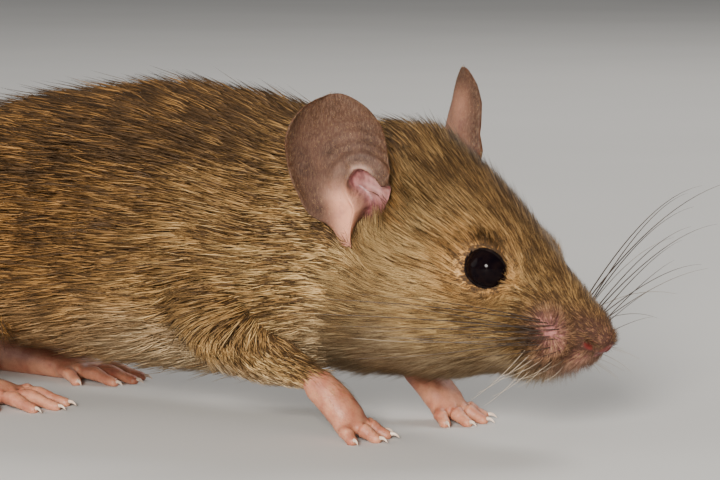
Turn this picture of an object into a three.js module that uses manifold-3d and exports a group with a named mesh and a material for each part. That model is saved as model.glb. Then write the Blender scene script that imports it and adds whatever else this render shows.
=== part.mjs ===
// House mouse, life size, standing low on four feet with the tail laid on the ground behind it.
// Millimetres, +X towards the nose, +Y to the mouse's left, +Z up. The origin is under the middle of the
// bounding box, on the ground. The solids have the outline of the coat, out to the tips of the hair, and each
// named part is parted from its neighbours by a thin gap.
import * as THREE from "three";
import { ParametricGeometry } from "three/addons/geometries/ParametricGeometry.js";
import { mergeVertices } from "three/addons/utils/BufferGeometryUtils.js";
import Module from "manifold-3d";

const wasm = await Module();
wasm.setup();

// ---------------------------------------------------------------- driving sizes
const CUT = 0.3; // gap between neighbouring parts
const MERGE = 1e-4; // vertices closer than this are one
const RIGHT = -1;
const LEFT = 1;
const HANDS = [
  { hand: LEFT, label: "left" },
  { hand: RIGHT, label: "right" },
];

const NOSE_HEIGHT = 8.5; // of the nose tip above the ground
const HEAD_PITCH = THREE.MathUtils.degToRad(23); // nose down

const EYE_RADIUS = 1.72;
const EYE = { back: 9.75, side: 4.25, up: 1.55 };

const EAR_HEIGHTS = { [LEFT]: 12.8, [RIGHT]: 11.8 }; // foot to tip
const EAR_WIDTH = 7.9;
const EAR_THICKNESS = 0.62;
const EAR_FOOT_RADIUS = 2.3;
const EAR_WIDEST = 0.6; // share of the height
const EAR_FOOT = { back: 20.7, side: 6.0, up: -1.2 };
const EAR_TIPS = {
  [LEFT]: { back: 24.4, side: 8.8, up: 10.9 }, // pricked a little higher than the right one
  [RIGHT]: { back: 24.2, side: 9.6, up: 9.6 },
};
const EAR_FACINGS = {
  [LEFT]: { back: -0.7, side: 0.71, up: 0.1 }, // turned a little further forwards
  [RIGHT]: { back: -0.62, side: 0.78, up: 0.1 },
};

const TAIL_LENGTH = 76; // root to tip
const TAIL_ROOT = { back: 75.2, height: 9.9, radius: 1.75 };
const TAIL_TIP_RADIUS = 0.45;
const TAIL_DROP = 19; // length over which it comes down to the ground
const TAIL_SWING = THREE.MathUtils.degToRad(34); // how far its heading swings to each side
const TAIL_FLAT = 0.16; // how far its underside is pressed flat
const TAIL_CUTS = [0.3, 0.64]; // shares of the length where it is parted

// ---------------------------------------------------------------- materials
const finish = (color, roughness) => new THREE.MeshStandardMaterial({ color, roughness, metalness: 0 });
const coat = finish(0x8a6b47, 0.85);
const bareSkin = finish(0xc98f86, 0.55);
const earSkin = finish(0xb58a7a, 0.6);
const tailSkin = finish(0x8f7468, 0.7);
const eyeGloss = finish(0x0a0708, 0.06);

// ---------------------------------------------------------------- places on the head
// Back from the nose along the head, to the mouse's left, and up from the line of the head.
const headPlace = (back, left, up) =>
  new THREE.Vector3(
    -back * Math.cos(HEAD_PITCH) + up * Math.sin(HEAD_PITCH),
    left,
    NOSE_HEIGHT + back * Math.sin(HEAD_PITCH) + up * Math.cos(HEAD_PITCH),
  );

const headPoint = ({ back, side, up }, hand) => headPlace(back, hand * side, up);

const headDirection = ({ back, side, up }, hand) =>
  headPlace(back, hand * side, up).sub(headPlace(0, 0, 0)).normalize();

// ---------------------------------------------------------------- sections of the body, nose to tail
// One cross-section: its centre, how far its top leans forward (tilt, degrees), its half-width, and its
// reach above and below the centre.
const section = (x, z, tilt, wide, up, down) => ({
  centre: new THREE.Vector3(x, 0, z),
  tilt: THREE.MathUtils.degToRad(tilt),
  wide,
  up,
  down,
});

const headSection = (back, middle, wide, up, down) => {
  const place = headPlace(back, 0, middle);
  return section(place.x, place.z, THREE.MathUtils.radToDeg(HEAD_PITCH), wide, up, down);
};

const BODY = [
  headSection(0.5, -0.35, 1.25, 1.15, 1.1), // nose
  headSection(1.5, -0.75, 2.05, 2.3, 2.3), // nostrils
  headSection(3.1, -1.15, 2.9, 3.15, 3.3), // whisker pads
  headSection(5.0, -1.15, 3.55, 4.1, 4.05), // corners of the mouth
  headSection(7.7, -1.3, 4.45, 5.45, 5.4), // bridge of the nose
  headSection(10.9, -1.6, 5.6, 7.2, 7.1), // eyes
  headSection(14.0, -1.8, 6.8, 8.45, 8.3), // cheeks
  headSection(17.3, -2.2, 7.35, 9.6, 9.4), // angles of the jaw
  headSection(20.5, -2.8, 7.75, 10.6, 10.1), // ears
  section(-26.0, 14.0, 14, 8.7, 10.6, 10.1), // neck
  section(-32.0, 14.7, 6, 10.2, 11.1, 10.9), // shoulders
  section(-38.5, 15.2, 2, 11.6, 11.4, 11.4), // chest
  section(-45.5, 15.2, 0, 12.3, 11.0, 11.0), // belly
  section(-52.5, 14.9, -3, 12.4, 10.3, 10.1), // loin
  section(-59.5, 14.2, -8, 11.5, 9.1, 8.8), // hips
  section(-66.0, 13.2, -16, 9.4, 7.3, 6.8), // rump
  section(-71.5, 11.9, -24, 6.2, 5.2, 4.8), // seat
  section(-75.6, 10.0, -32, 2.3, 2.3, 2.2), // root of the tail
];
const NOSE_DOME = 0.6; // the rounded nose in front of the first section
const RUMP_DOME = 0.7; // and the rounded end behind the last one
const HEAD_END = 8.1; // places along the body, counted in sections
const NECK_END = 9.75;
const SHOULDER_GAP = CUT / 6; // the same gap counted in sections of about six millimetres

// Each swelling raises the head round a place, or hollows it, fading over its spread.
const HEAD_SWELLINGS = [
  { back: 3.2, side: 2.5, up: -2.2, swell: 0.55, spread: 1.5 }, // whisker pad
  { back: 6.4, side: 3.6, up: 0.6, swell: -0.3, spread: 1.7 }, // hollow before the eye
  { back: 9.9, side: 5.2, up: 3.4, swell: 0.45, spread: 1.8 }, // brow
  { back: 14.2, side: 6.6, up: -3.2, swell: 0.7, spread: 3.2 }, // cheek
  { back: 20.6, side: 6.2, up: 3.2, swell: 0.6, spread: 2.6 }, // foot of the ear
];

// ---------------------------------------------------------------- limbs: [x, y, z, half-width, half-depth]
// They are given for the standing side. The other side's feet are a stride away, and its legs lean to them.
const FORE_STRIDE = { [LEFT]: 2.4, [RIGHT]: 0 };
const HIND_STRIDE = { [LEFT]: -3.2, [RIGHT]: 0 };
const STRIDE_TOP = 14; // height at which a leg no longer leans
const THIGH = [
  [-63.6, 4.7, 16.0, 2.8, 3.6],
  [-60.2, 7.5, 13.3, 5.2, 6.2],
  [-56.2, 8.2, 10.8, 4.7, 6.0],
  [-53.2, 8.1, 8.7, 3.4, 4.4],
];
const SHANK = [
  [-54.6, 8.2, 8.2, 3.0, 3.6],
  [-58.6, 8.4, 6.0, 2.7, 3.2],
  [-61.8, 8.0, 4.3, 1.9, 2.1],
];
const HIND_SOLE = [
  [-62.8, 7.7, 1.45, 1.35, 1.6],
  [-58.8, 7.5, 1.25, 1.35, 1.45],
  [-54.8, 7.3, 1.0, 1.75, 1.2],
  [-52.2, 7.2, 0.85, 2.05, 1.05],
];
const HIND_TOES = [
  { from: [-53.6, 5.5], to: [-50.6, 4.0] },
  { from: [-52.4, 6.0], to: [-47.6, 5.3] },
  { from: [-52.0, 7.2], to: [-47.0, 7.3] },
  { from: [-52.4, 8.3], to: [-47.7, 9.3] },
  { from: [-53.8, 8.8], to: [-50.8, 10.5] },
];
const ARM = [
  [-34.0, 4.0, 13.4, 2.4, 3.2],
  [-31.0, 6.6, 9.4, 3.4, 4.2],
  [-27.4, 6.5, 6.2, 2.4, 2.8],
  [-23.0, 5.9, 4.5, 1.4, 1.45],
];
const PALM = [
  [-22.5, 5.8, 4.1, 1.3, 1.25],
  [-20.9, 5.6, 2.7, 1.55, 1.3],
  [-19.5, 5.4, 1.05, 1.85, 1.2],
];
const FINGERS = [
  { from: [-20.0, 4.2], to: [-18.6, 2.9] },
  { from: [-19.4, 4.8], to: [-17.3, 4.1] },
  { from: [-19.3, 5.9], to: [-17.0, 6.0] },
  { from: [-19.8, 6.7], to: [-18.0, 7.8] },
];
const PRESSED = 0.6; // height of a digit's tip over its radius, so that the ground flattens it
const DIGIT = { radius: 0.62, tip: 0.45, knuckle: 0.5, raise: 0.22 };

// ---------------------------------------------------------------- curves and closed surfaces
// Catmull-Rom value at a place counted in knots; past an end the knots go on in a straight line.
function along(values, place) {
  const last = values.length - 1;
  const i = Math.min(Math.max(Math.floor(place), 0), last - 1);
  const t = place - i;
  const b = values[i];
  const c = values[i + 1];
  const a = i > 0 ? values[i - 1] : 2 * b - c;
  const d = i + 2 <= last ? values[i + 2] : 2 * c - b;
  const bend = 2 * a - 5 * b + 4 * c - d;
  const twist = 3 * b - a - 3 * c + d;
  return 0.5 * (2 * b + (c - a) * t + bend * t * t + twist * t * t * t);
}

const alongPoints = (points, place) =>
  new THREE.Vector3(
    along(points.map((p) => p.x), place),
    along(points.map((p) => p.y), place),
    along(points.map((p) => p.z), place),
  );

// The solid inside a three.js geometry, with its doubled vertices made one and its empty triangles left out.
function solidOf(geometry) {
  geometry.deleteAttribute("normal");
  geometry.deleteAttribute("uv");
  const merged = mergeVertices(geometry, MERGE);
  const corners = merged.index.array;
  const faces = [];
  for (let i = 0; i < corners.length; i += 3) {
    const [a, b, c] = [corners[i], corners[i + 1], corners[i + 2]];
    if (a !== b && b !== c && c !== a) faces.push(a, b, c);
  }
  const vertProperties = merged.attributes.position.array;
  return new wasm.Manifold(new wasm.Mesh({ numProp: 3, vertProperties, triVerts: Uint32Array.from(faces) }));
}

// A closed surface as a solid. point(u, v) goes once round as u goes from 0 to 1, and is a single point at
// v 0 and at v 1.
const closedSolid = (point, around, rows) =>
  solidOf(new ParametricGeometry((u, v, target) => target.copy(point(u % 1, v)), around, rows));

// Where a row of a tube lies. The first and last few rows make its caps, flat or domed. Gives the place
// along the path, how far the section is pushed along it, and its share of the full size.
function tubeRow(v, rows, capRows, from, to, startDome, endDome) {
  const row = v * rows;
  if (row < capRows) {
    const turn = (row / capRows) * (Math.PI / 2);
    return { place: from, push: -startDome * Math.cos(turn), share: Math.sin(turn) };
  }
  if (row > rows - capRows) {
    const turn = ((rows - row) / capRows) * (Math.PI / 2);
    return { place: to, push: endDome * Math.cos(turn), share: Math.sin(turn) };
  }
  const share = (row - capRows) / (rows - 2 * capRows);
  return { place: from + (to - from) * share, push: 0, share: 1 };
}

// ---------------------------------------------------------------- head, neck and trunk
const CENTRES = BODY.map((s) => s.centre);
const TILTS = BODY.map((s) => s.tilt);
const WIDES = BODY.map((s) => s.wide);
const UPS = BODY.map((s) => s.up);
const DOWNS = BODY.map((s) => s.down);

function swollen(point) {
  const moved = point.clone();
  for (const { hand } of HANDS)
    for (const swelling of HEAD_SWELLINGS) {
      const middle = headPoint(swelling, hand);
      const fade = Math.exp(-point.distanceToSquared(middle) / (2 * swelling.spread ** 2));
      const outwards = point.clone().sub(headPlace(swelling.back, 0, swelling.up / 2)).normalize();
      moved.addScaledVector(outwards, swelling.swell * fade);
    }
  return moved;
}

// The body from one place to another, counted in sections, and grown by a margin all over.
function bodySolid(from, to, { around = 28, rows, capRows = 1, startDome = 0, endDome = 0, grow = 0 }) {
  return closedSolid(
    (u, v) => {
      const { place, push, share } = tubeRow(v, rows, capRows, from, to, startDome, endDome);
      const turn = u * 2 * Math.PI;
      const height = Math.sin(turn);
      const lean = along(TILTS, place);
      const reach = (height > 0 ? along(UPS, place) : along(DOWNS, place)) + grow;
      const aside = -Math.cos(turn) * (along(WIDES, place) + grow) * share;
      const backward = new THREE.Vector3(-Math.cos(lean), 0, Math.sin(lean));
      const upward = new THREE.Vector3(Math.sin(lean), 0, Math.cos(lean));
      const point = alongPoints(CENTRES, place)
        .addScaledVector(backward, push)
        .addScaledVector(upward, height * reach * share);
      point.y += aside;
      return swollen(point);
    },
    around,
    rows,
  );
}

// ---------------------------------------------------------------- tubes: limbs, digits and tail
// Knots are [x, y, z, half-width, half-depth]. The width lies level, across the path.
function tubeSolid(knots, options = {}) {
  const { around = 12, steps = 3, grow = 0, startDome = 1, endDome = 1 } = options;
  const { from = 0, to = knots.length - 1, capRows = 3 } = options;
  const points = knots.map(([x, y, z]) => new THREE.Vector3(x, y, z));
  const wides = knots.map((knot) => knot[3]);
  const depths = knots.map((knot) => knot[4]);
  const rows = Math.round((to - from) * steps) + 2 * capRows;
  return closedSolid(
    (u, v) => {
      const { place, push, share } = tubeRow(v, rows, capRows, from, to, startDome, endDome);
      const forward = alongPoints(points, place + 0.05).sub(alongPoints(points, place - 0.05)).normalize();
      const level = new THREE.Vector3(-forward.y, forward.x, 0).normalize();
      const upward = new THREE.Vector3().crossVectors(forward, level);
      const turn = u * 2 * Math.PI;
      const wide = (along(wides, place) + grow) * share;
      const depth = along(depths, place) + grow;
      return alongPoints(points, place)
        .addScaledVector(forward, push * depth)
        .addScaledVector(level, Math.cos(turn) * wide)
        .addScaledVector(upward, Math.sin(turn) * depth * share);
    },
    around,
    rows,
  );
}

// The knots of a limb on one side of the body, leaning to where that side's foot stands.
const onSide = (knots, hand, stride) =>
  knots.map(([x, y, z, ...sizes]) => [
    x + stride[hand] * THREE.MathUtils.clamp(1 - z / STRIDE_TOP, 0, 1),
    hand * y,
    z,
    ...sizes,
  ]);

// A digit bows up a little at its knuckle and comes down to the ground at its tip.
function digitKnots({ from, to }, rootHeight) {
  const at = (share, height, radius) => [
    THREE.MathUtils.lerp(from[0], to[0], share),
    THREE.MathUtils.lerp(from[1], to[1], share),
    height,
    radius,
    radius,
  ];
  const { radius, tip, knuckle, raise } = DIGIT;
  return [at(0, rootHeight, radius), at(knuckle, radius + raise, radius), at(1, tip * PRESSED, tip)];
}

// Everything below the ground, which every foot and the tail are cut by to give them their small flats.
const GROUND_DEPTH = 10;
const groundBox = new THREE.BoxGeometry(400, 400, GROUND_DEPTH).translate(0, 0, -GROUND_DEPTH / 2);
const ground = solidOf(groundBox);

const SOLE_FACES = { around: 8, steps: 2, capRows: 2, startDome: 0.8 };
const DIGIT_FACES = { around: 6, steps: 1, capRows: 1 };

function footSolid(sole, digits, hand, stride) {
  let foot = tubeSolid(onSide(sole, hand, stride), SOLE_FACES);
  for (const digit of digits) {
    const knots = digitKnots(digit, sole.at(-1)[2]);
    foot = foot.add(tubeSolid(onSide(knots, hand, stride), DIGIT_FACES));
  }
  return foot.subtract(ground);
}

// The room that a sole takes out of the leg above it.
const soleRoom = (sole, hand, stride) =>
  tubeSolid(onSide(sole, hand, stride), { ...SOLE_FACES, grow: CUT });

function hindLeg(hand, grow = 0) {
  const thigh = onSide(THIGH, hand, HIND_STRIDE);
  const shank = onSide(SHANK, hand, HIND_STRIDE);
  return tubeSolid(thigh, { grow, around: 12, steps: 2, capRows: 2, endDome: 0.7 })
    .add(tubeSolid(shank, { grow, around: 8, steps: 1, capRows: 2, startDome: 0.7, endDome: 0.6 }));
}

const foreLeg = (hand, grow = 0) =>
  tubeSolid(onSide(ARM, hand, FORE_STRIDE), { grow, around: 10, steps: 2, capRows: 2, endDome: 0.4 });

// ---------------------------------------------------------------- ears
// An ear is a thin sheet rolled into a cup: at each height it is an arc that opens forwards and outwards,
// nearly a tube at the foot and a shallow dish at the tip.
function earHalfWidth(height) {
  const widest = EAR_WIDTH / 2;
  if (height > EAR_WIDEST) {
    const share = (height - EAR_WIDEST) / (1 - EAR_WIDEST);
    return widest * Math.sqrt(Math.max(0, 1 - share * share));
  }
  const share = THREE.MathUtils.smoothstep(height, 0, EAR_WIDEST);
  return THREE.MathUtils.lerp(EAR_FOOT_RADIUS, widest, share);
}

const earHalfArc = (height) =>
  THREE.MathUtils.degToRad(THREE.MathUtils.lerp(145, 52, Math.min(1, height / EAR_WIDEST)));

function earSolid(hand, around, rows) {
  const foot = headPoint(EAR_FOOT, hand);
  const rise = headPoint(EAR_TIPS[hand], hand).sub(foot).normalize();
  const facing = headDirection(EAR_FACINGS[hand], hand);
  facing.addScaledVector(rise, -facing.dot(rise)).normalize();
  const across = new THREE.Vector3().crossVectors(rise, facing);
  return closedSolid(
    (u, v) => {
      const height = (1 - Math.cos(v * Math.PI)) / 2;
      const halfWidth = earHalfWidth(height);
      const halfArc = earHalfArc(height);
      const radius = halfWidth / Math.sin(Math.min(halfArc, Math.PI / 2));
      const turn = u * 2 * Math.PI;
      const closing = Math.min(1, v * rows, (1 - v) * rows);
      const angle = halfArc * Math.cos(turn) * closing;
      const offset = (Math.sin(turn) * EAR_THICKNESS * closing) / 2;
      return foot
        .clone()
        .addScaledVector(rise, height * EAR_HEIGHTS[hand])
        .addScaledVector(facing, (radius - (radius + offset) * Math.cos(angle)) * closing)
        .addScaledVector(across, (radius + offset) * Math.sin(angle));
    },
    around,
    rows,
  );
}

// ---------------------------------------------------------------- tail
// Its heading swings gently from side to side, and it comes down to the ground over its first stretch.
const TAIL_KNOTS = 24;
const TAIL_SWINGS = 1.35; // half waves over its length
function tailKnots() {
  const knots = [];
  const step = TAIL_LENGTH / (TAIL_KNOTS - 1);
  let x = -TAIL_ROOT.back;
  let y = 0;
  for (let i = 0; i < TAIL_KNOTS; i += 1) {
    const share = i / (TAIL_KNOTS - 1);
    const radius = THREE.MathUtils.lerp(TAIL_ROOT.radius, TAIL_TIP_RADIUS, share ** 0.8);
    const drop = THREE.MathUtils.smoothstep(share * TAIL_LENGTH, 0, TAIL_DROP);
    const height = THREE.MathUtils.lerp(TAIL_ROOT.height, radius - TAIL_FLAT, drop);
    knots.push([x, y, height, radius, radius]);
    const slope = (i > 0 ? knots[i][2] - knots[i - 1][2] : 0) / step;
    const forward = step * Math.sqrt(Math.max(0.2, 1 - slope * slope));
    const heading = TAIL_SWING * Math.sin(share * Math.PI * TAIL_SWINGS);
    x -= forward * Math.cos(heading);
    y += forward * Math.sin(heading);
  }
  return knots;
}

function tailSolids(fleshRoom) {
  const knots = tailKnots();
  const last = knots.length - 1;
  const gap = CUT / (TAIL_LENGTH / last);
  const ends = [0, ...TAIL_CUTS.map((share) => share * last), last];
  return ["tail_base", "tail_middle", "tail_tip"].map((name, i) => {
    const from = ends[i] + (i > 0 ? gap : 0);
    const endDome = i === TAIL_CUTS.length ? 1 : 0;
    const tube = tubeSolid(knots, { from, to: ends[i + 1], around: 8, steps: 1, startDome: 0, endDome });
    return { name, solid: tube.subtract(ground).subtract(fleshRoom) };
  });
}

// ---------------------------------------------------------------- eyes
const eyeSolid = (hand, grow = 0) => {
  const centre = headPoint(EYE, hand);
  return solidOf(new THREE.SphereGeometry(EYE_RADIUS + grow, 14, 9).translate(...centre.toArray()));
};

// ---------------------------------------------------------------- build
function meshOf(name, solid, material) {
  const { vertProperties, triVerts, numVert, numProp } = solid.getMesh();
  const places = new Float32Array(numVert * 3);
  for (let i = 0; i < numVert; i += 1)
    places.set(vertProperties.subarray(i * numProp, i * numProp + 3), i * 3);
  const geometry = new THREE.BufferGeometry()
    .setAttribute("position", new THREE.BufferAttribute(places, 3))
    .setIndex(new THREE.BufferAttribute(triVerts, 1));
  geometry.computeVertexNormals();
  const mesh = new THREE.Mesh(geometry, material);
  mesh.name = name;
  return mesh;
}

const mouse = new THREE.Group();

let head = bodySolid(0, HEAD_END, { rows: 21, capRows: 3, startDome: NOSE_DOME });
let neck = bodySolid(HEAD_END + SHOULDER_GAP, NECK_END, { rows: 6 });
let trunk = bodySolid(NECK_END + SHOULDER_GAP, BODY.length - 1, { rows: 21, capRows: 2, endDome: RUMP_DOME });
const fleshRoom = bodySolid(0, BODY.length - 1, {
  rows: 56,
  capRows: 3,
  startDome: NOSE_DOME,
  endDome: RUMP_DOME,
  grow: CUT,
});

for (const { hand, label } of HANDS) {
  mouse.add(meshOf(`eye_${label}`, eyeSolid(hand), eyeGloss));
  mouse.add(meshOf(`ear_${label}`, earSolid(hand, 20, 12).subtract(fleshRoom), earSkin));
  const foreleg = foreLeg(hand).subtract(soleRoom(PALM, hand, FORE_STRIDE));
  const hindleg = hindLeg(hand).subtract(soleRoom(HIND_SOLE, hand, HIND_STRIDE));
  mouse.add(meshOf(`foreleg_${label}`, foreleg, coat));
  mouse.add(meshOf(`hindleg_${label}`, hindleg, coat));
  mouse.add(meshOf(`forefoot_${label}`, footSolid(PALM, FINGERS, hand, FORE_STRIDE), bareSkin));
  mouse.add(meshOf(`hindfoot_${label}`, footSolid(HIND_SOLE, HIND_TOES, hand, HIND_STRIDE), bareSkin));
  head = head.subtract(eyeSolid(hand, CUT));
  neck = neck.subtract(foreLeg(hand, CUT));
  trunk = trunk.subtract(foreLeg(hand, CUT)).subtract(hindLeg(hand, CUT));
}
mouse.add(meshOf("head", head, coat));
mouse.add(meshOf("neck", neck, coat));
mouse.add(meshOf("trunk", trunk, coat));
for (const { name, solid } of tailSolids(fleshRoom)) mouse.add(meshOf(name, solid, tailSkin));

// The origin goes under the middle of the bounding box, on the ground.
const box = new THREE.Box3().setFromObject(mouse);
const middle = box.getCenter(new THREE.Vector3());
for (const mesh of mouse.children) mesh.geometry.translate(-middle.x, -middle.y, -box.min.z);

export default mouse;
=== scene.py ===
"""House mouse, life size: one skin with its coat, eyes, claws and whiskers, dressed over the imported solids.

Shapes are worked out in construction millimetres: +X towards the nose, +Y to the mouse's left, +Z up, the
ground at z 0 and the nose tip near x 0. They are moved into the frame, in metres, as each mesh is made.
"""
import logging
import math
from dataclasses import dataclass, field
from enum import Enum
from typing import Sequence

import bpy
import numpy as np
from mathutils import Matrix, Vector


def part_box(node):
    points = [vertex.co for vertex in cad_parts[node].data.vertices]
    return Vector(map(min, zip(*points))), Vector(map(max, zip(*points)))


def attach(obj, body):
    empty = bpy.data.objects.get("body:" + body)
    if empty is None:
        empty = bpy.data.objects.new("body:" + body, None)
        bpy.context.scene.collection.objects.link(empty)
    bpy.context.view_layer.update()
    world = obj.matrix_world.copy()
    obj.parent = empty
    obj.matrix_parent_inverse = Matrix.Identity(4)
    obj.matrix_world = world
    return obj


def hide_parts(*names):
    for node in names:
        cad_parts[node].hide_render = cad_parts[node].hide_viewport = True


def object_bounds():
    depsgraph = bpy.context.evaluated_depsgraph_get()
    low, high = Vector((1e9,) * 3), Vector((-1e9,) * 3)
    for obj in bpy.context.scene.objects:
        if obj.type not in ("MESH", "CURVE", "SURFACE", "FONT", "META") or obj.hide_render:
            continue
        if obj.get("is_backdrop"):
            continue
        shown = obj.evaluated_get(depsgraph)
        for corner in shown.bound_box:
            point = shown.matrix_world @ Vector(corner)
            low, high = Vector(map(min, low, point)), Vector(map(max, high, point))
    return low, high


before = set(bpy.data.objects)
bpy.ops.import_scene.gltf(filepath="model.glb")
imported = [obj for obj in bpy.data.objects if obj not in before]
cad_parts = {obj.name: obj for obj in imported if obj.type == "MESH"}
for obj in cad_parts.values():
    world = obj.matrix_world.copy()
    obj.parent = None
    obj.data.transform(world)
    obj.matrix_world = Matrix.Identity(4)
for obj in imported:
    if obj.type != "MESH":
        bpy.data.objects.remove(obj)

Array = np.ndarray
log = logging.getLogger("mouse")
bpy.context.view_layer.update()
MILLIMETRE = 0.001

RIGHT = -1
LEFT = 1
HANDS = {LEFT: "left", RIGHT: "right"}

# ------------------------------------------------------------------ places on the head
NOSE_HEIGHT = 8.5
HEAD_PITCH = math.radians(23)
NOSE = np.array([0.0, 0.0, NOSE_HEIGHT])
HEAD_AXES = np.array(
    [
        [-math.cos(HEAD_PITCH), 0.0, math.sin(HEAD_PITCH)],  # back
        [0.0, 1.0, 0.0],  # left
        [math.sin(HEAD_PITCH), 0.0, math.cos(HEAD_PITCH)],  # up
    ]
)
EYE_RADIUS = 1.72
EYE = (9.75, 4.25, 1.55)  # back, side, up
LEAST_SQUARE = 0.16  # square of the least height counted on an eyeball


def head_place(places: Sequence | Array) -> Array:
    """Turns (back, left, up) on the head into construction places: the nose plus each reach along its axis.

    Args:
        places: Values whose last axis is back, left, up.
    Returns:
        The same values as x, y, z.
    """
    return np.asarray(places, float) @ HEAD_AXES + NOSE


def head_view(points: Array) -> Array:
    """Turns construction places into (back, left, up) on the head, the inverse of head_place."""
    return (points - NOSE) @ HEAD_AXES.T


def sided(place: Sequence[float], hand: int) -> Array:
    """Gives a (back, side, up) place its side of the head, as (back, left, up)."""
    return np.array([place[0], hand * place[1], place[2]])


# ------------------------------------------------------------------ arithmetic on whole arrays
def unit(vectors: Array) -> Array:
    """Divides vectors along the last axis by their length."""
    return vectors / np.maximum(np.linalg.norm(vectors, axis=-1, keepdims=True), 1e-12)


def dot(a: Array, b: Array) -> Array:
    """Sums the products of two arrays of vectors along the last axis."""
    return np.sum(a * b, axis=-1)


def fade(values: Array, start: float, end: float) -> Array:
    """Rises smoothly from 0 at start to 1 at end, which may lie below it: 3t^2 - 2t^3 of the share t."""
    share = np.clip((values - start) / (end - start), 0.0, 1.0)
    return share * share * (3 - 2 * share)


def blend(a: Array | float, b: Array | float, share: Array | float) -> Array:
    """Goes straight from a to b as the share goes from 0 to 1."""
    return a + (b - a) * share


def along(knots: Sequence | Array, place: Array) -> Array:
    """Catmull-Rom curve through equally spaced knots, going on straight past both ends.

    Args:
        knots: Values, or rows of values, one for each knot.
        place: Where to read the curve, counted in knots.
    Returns:
        The curve's value for each place.
    """
    knots = np.asarray(knots, float)
    place = np.asarray(place, float)
    padded = np.concatenate([2 * knots[:1] - knots[1:2], knots, 2 * knots[-1:] - knots[-2:-1]])
    index = np.clip(np.floor(place).astype(int), 0, len(knots) - 2)
    share = place - index
    if knots.ndim > 1:
        share = share[..., None]
    a, b, c, d = (padded[index + step] for step in range(4))
    bend = 2 * a - 5 * b + 4 * c - d
    twist = 3 * b - a - 3 * c + d
    return 0.5 * (2 * b + (c - a) * share + bend * share**2 + twist * share**3)


def dice(cells: Array, seed: int) -> Array:
    """Gives each whole-number cell its own steady value in 0..1, by mixing the bits of its three numbers.

    Args:
        cells: Whole numbers whose last axis has three.
        seed: Which table of values to draw.
    Returns:
        One value for each cell.
    """
    mixed = (cells * np.array([73856093, 19349663, 83492791])).sum(-1) + seed * 2654435761
    mixed = mixed & 0xFFFFFFFF
    for shift, factor in ((16, 0x7FEB352D), (15, 0x846CA68B)):
        mixed = ((mixed ^ (mixed >> shift)) * factor) & 0xFFFFFFFF
    return (mixed ^ (mixed >> 16)) / 0xFFFFFFFF


def soft_noise(points: Array, grain: float, seed: int) -> Array:
    """Smooth noise in -1..1: steady values at the corners of cells, blended by smoothed shares of the cell.

    Args:
        points: Places, in millimetres.
        grain: Size of a cell, in millimetres.
        seed: Which noise to draw.
    Returns:
        One value for each place.
    """
    scaled = points / grain
    cell = np.floor(scaled).astype(np.int64)
    share = scaled - cell
    share = share * share * (3 - 2 * share)
    total = np.zeros(points.shape[:-1])
    for corner in np.ndindex(2, 2, 2):
        weight = np.prod(np.where(np.array(corner) == 1, share, 1 - share), axis=-1)
        total += weight * dice(cell + np.array(corner), seed)
    return 2 * total - 1


def along_steps(steps: Sequence, where: Array) -> Array:
    """Reads a line through (place, value) stops, straight between them."""
    places, values = np.array(steps, float).T
    return np.interp(where, places, values)


def path_gap(points: Array, path: Sequence | Array) -> Array:
    """Finds how far places are from a bent line: each leg is met at its clipped foot, and the nearest counts.

    Args:
        points: Places.
        path: The line's corners, in the same axes.
    Returns:
        The distance to the line.
    """
    path = np.asarray(path, float)
    legs = path[1:] - path[:-1]
    best = np.full(points.shape[:-1], np.inf)
    for start, leg, size in zip(path[:-1], legs, np.linalg.norm(legs, axis=-1)):
        share = np.clip(dot(points - start, leg) / size**2, 0, 1)
        best = np.minimum(np.linalg.norm(points - start - share[..., None] * leg, axis=-1), best)
    return best


# ------------------------------------------------------------------ closed patches of skin
class Region(Enum):
    """A stretch of skin with a lie and a finish of its own."""

    BODY = 0
    LID = 1
    EAR = 2
    LEG = 3
    FOOT = 4
    TAIL = 5


def outwards(points: Array, faces: Array) -> Array:
    """Turns the triangles of a closed surface outwards, so that the volume that they enclose is above zero."""
    corners = points[faces]
    inward = dot(corners[:, 0], np.cross(corners[:, 1], corners[:, 2])).sum() < 0
    return faces[:, ::-1] if inward else faces


def between_rings(rows: int, around: int) -> Array:
    """Numbers the triangles between rings of points: two for each cell, from one row to the next."""
    row, column = np.divmod(np.arange((rows - 1) * around), around)
    a, b = row * around + column, row * around + (column + 1) % around
    c, d = a + around, b + around
    return np.concatenate([np.stack([a, b, d], -1), np.stack([a, d, c], -1)])


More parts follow.
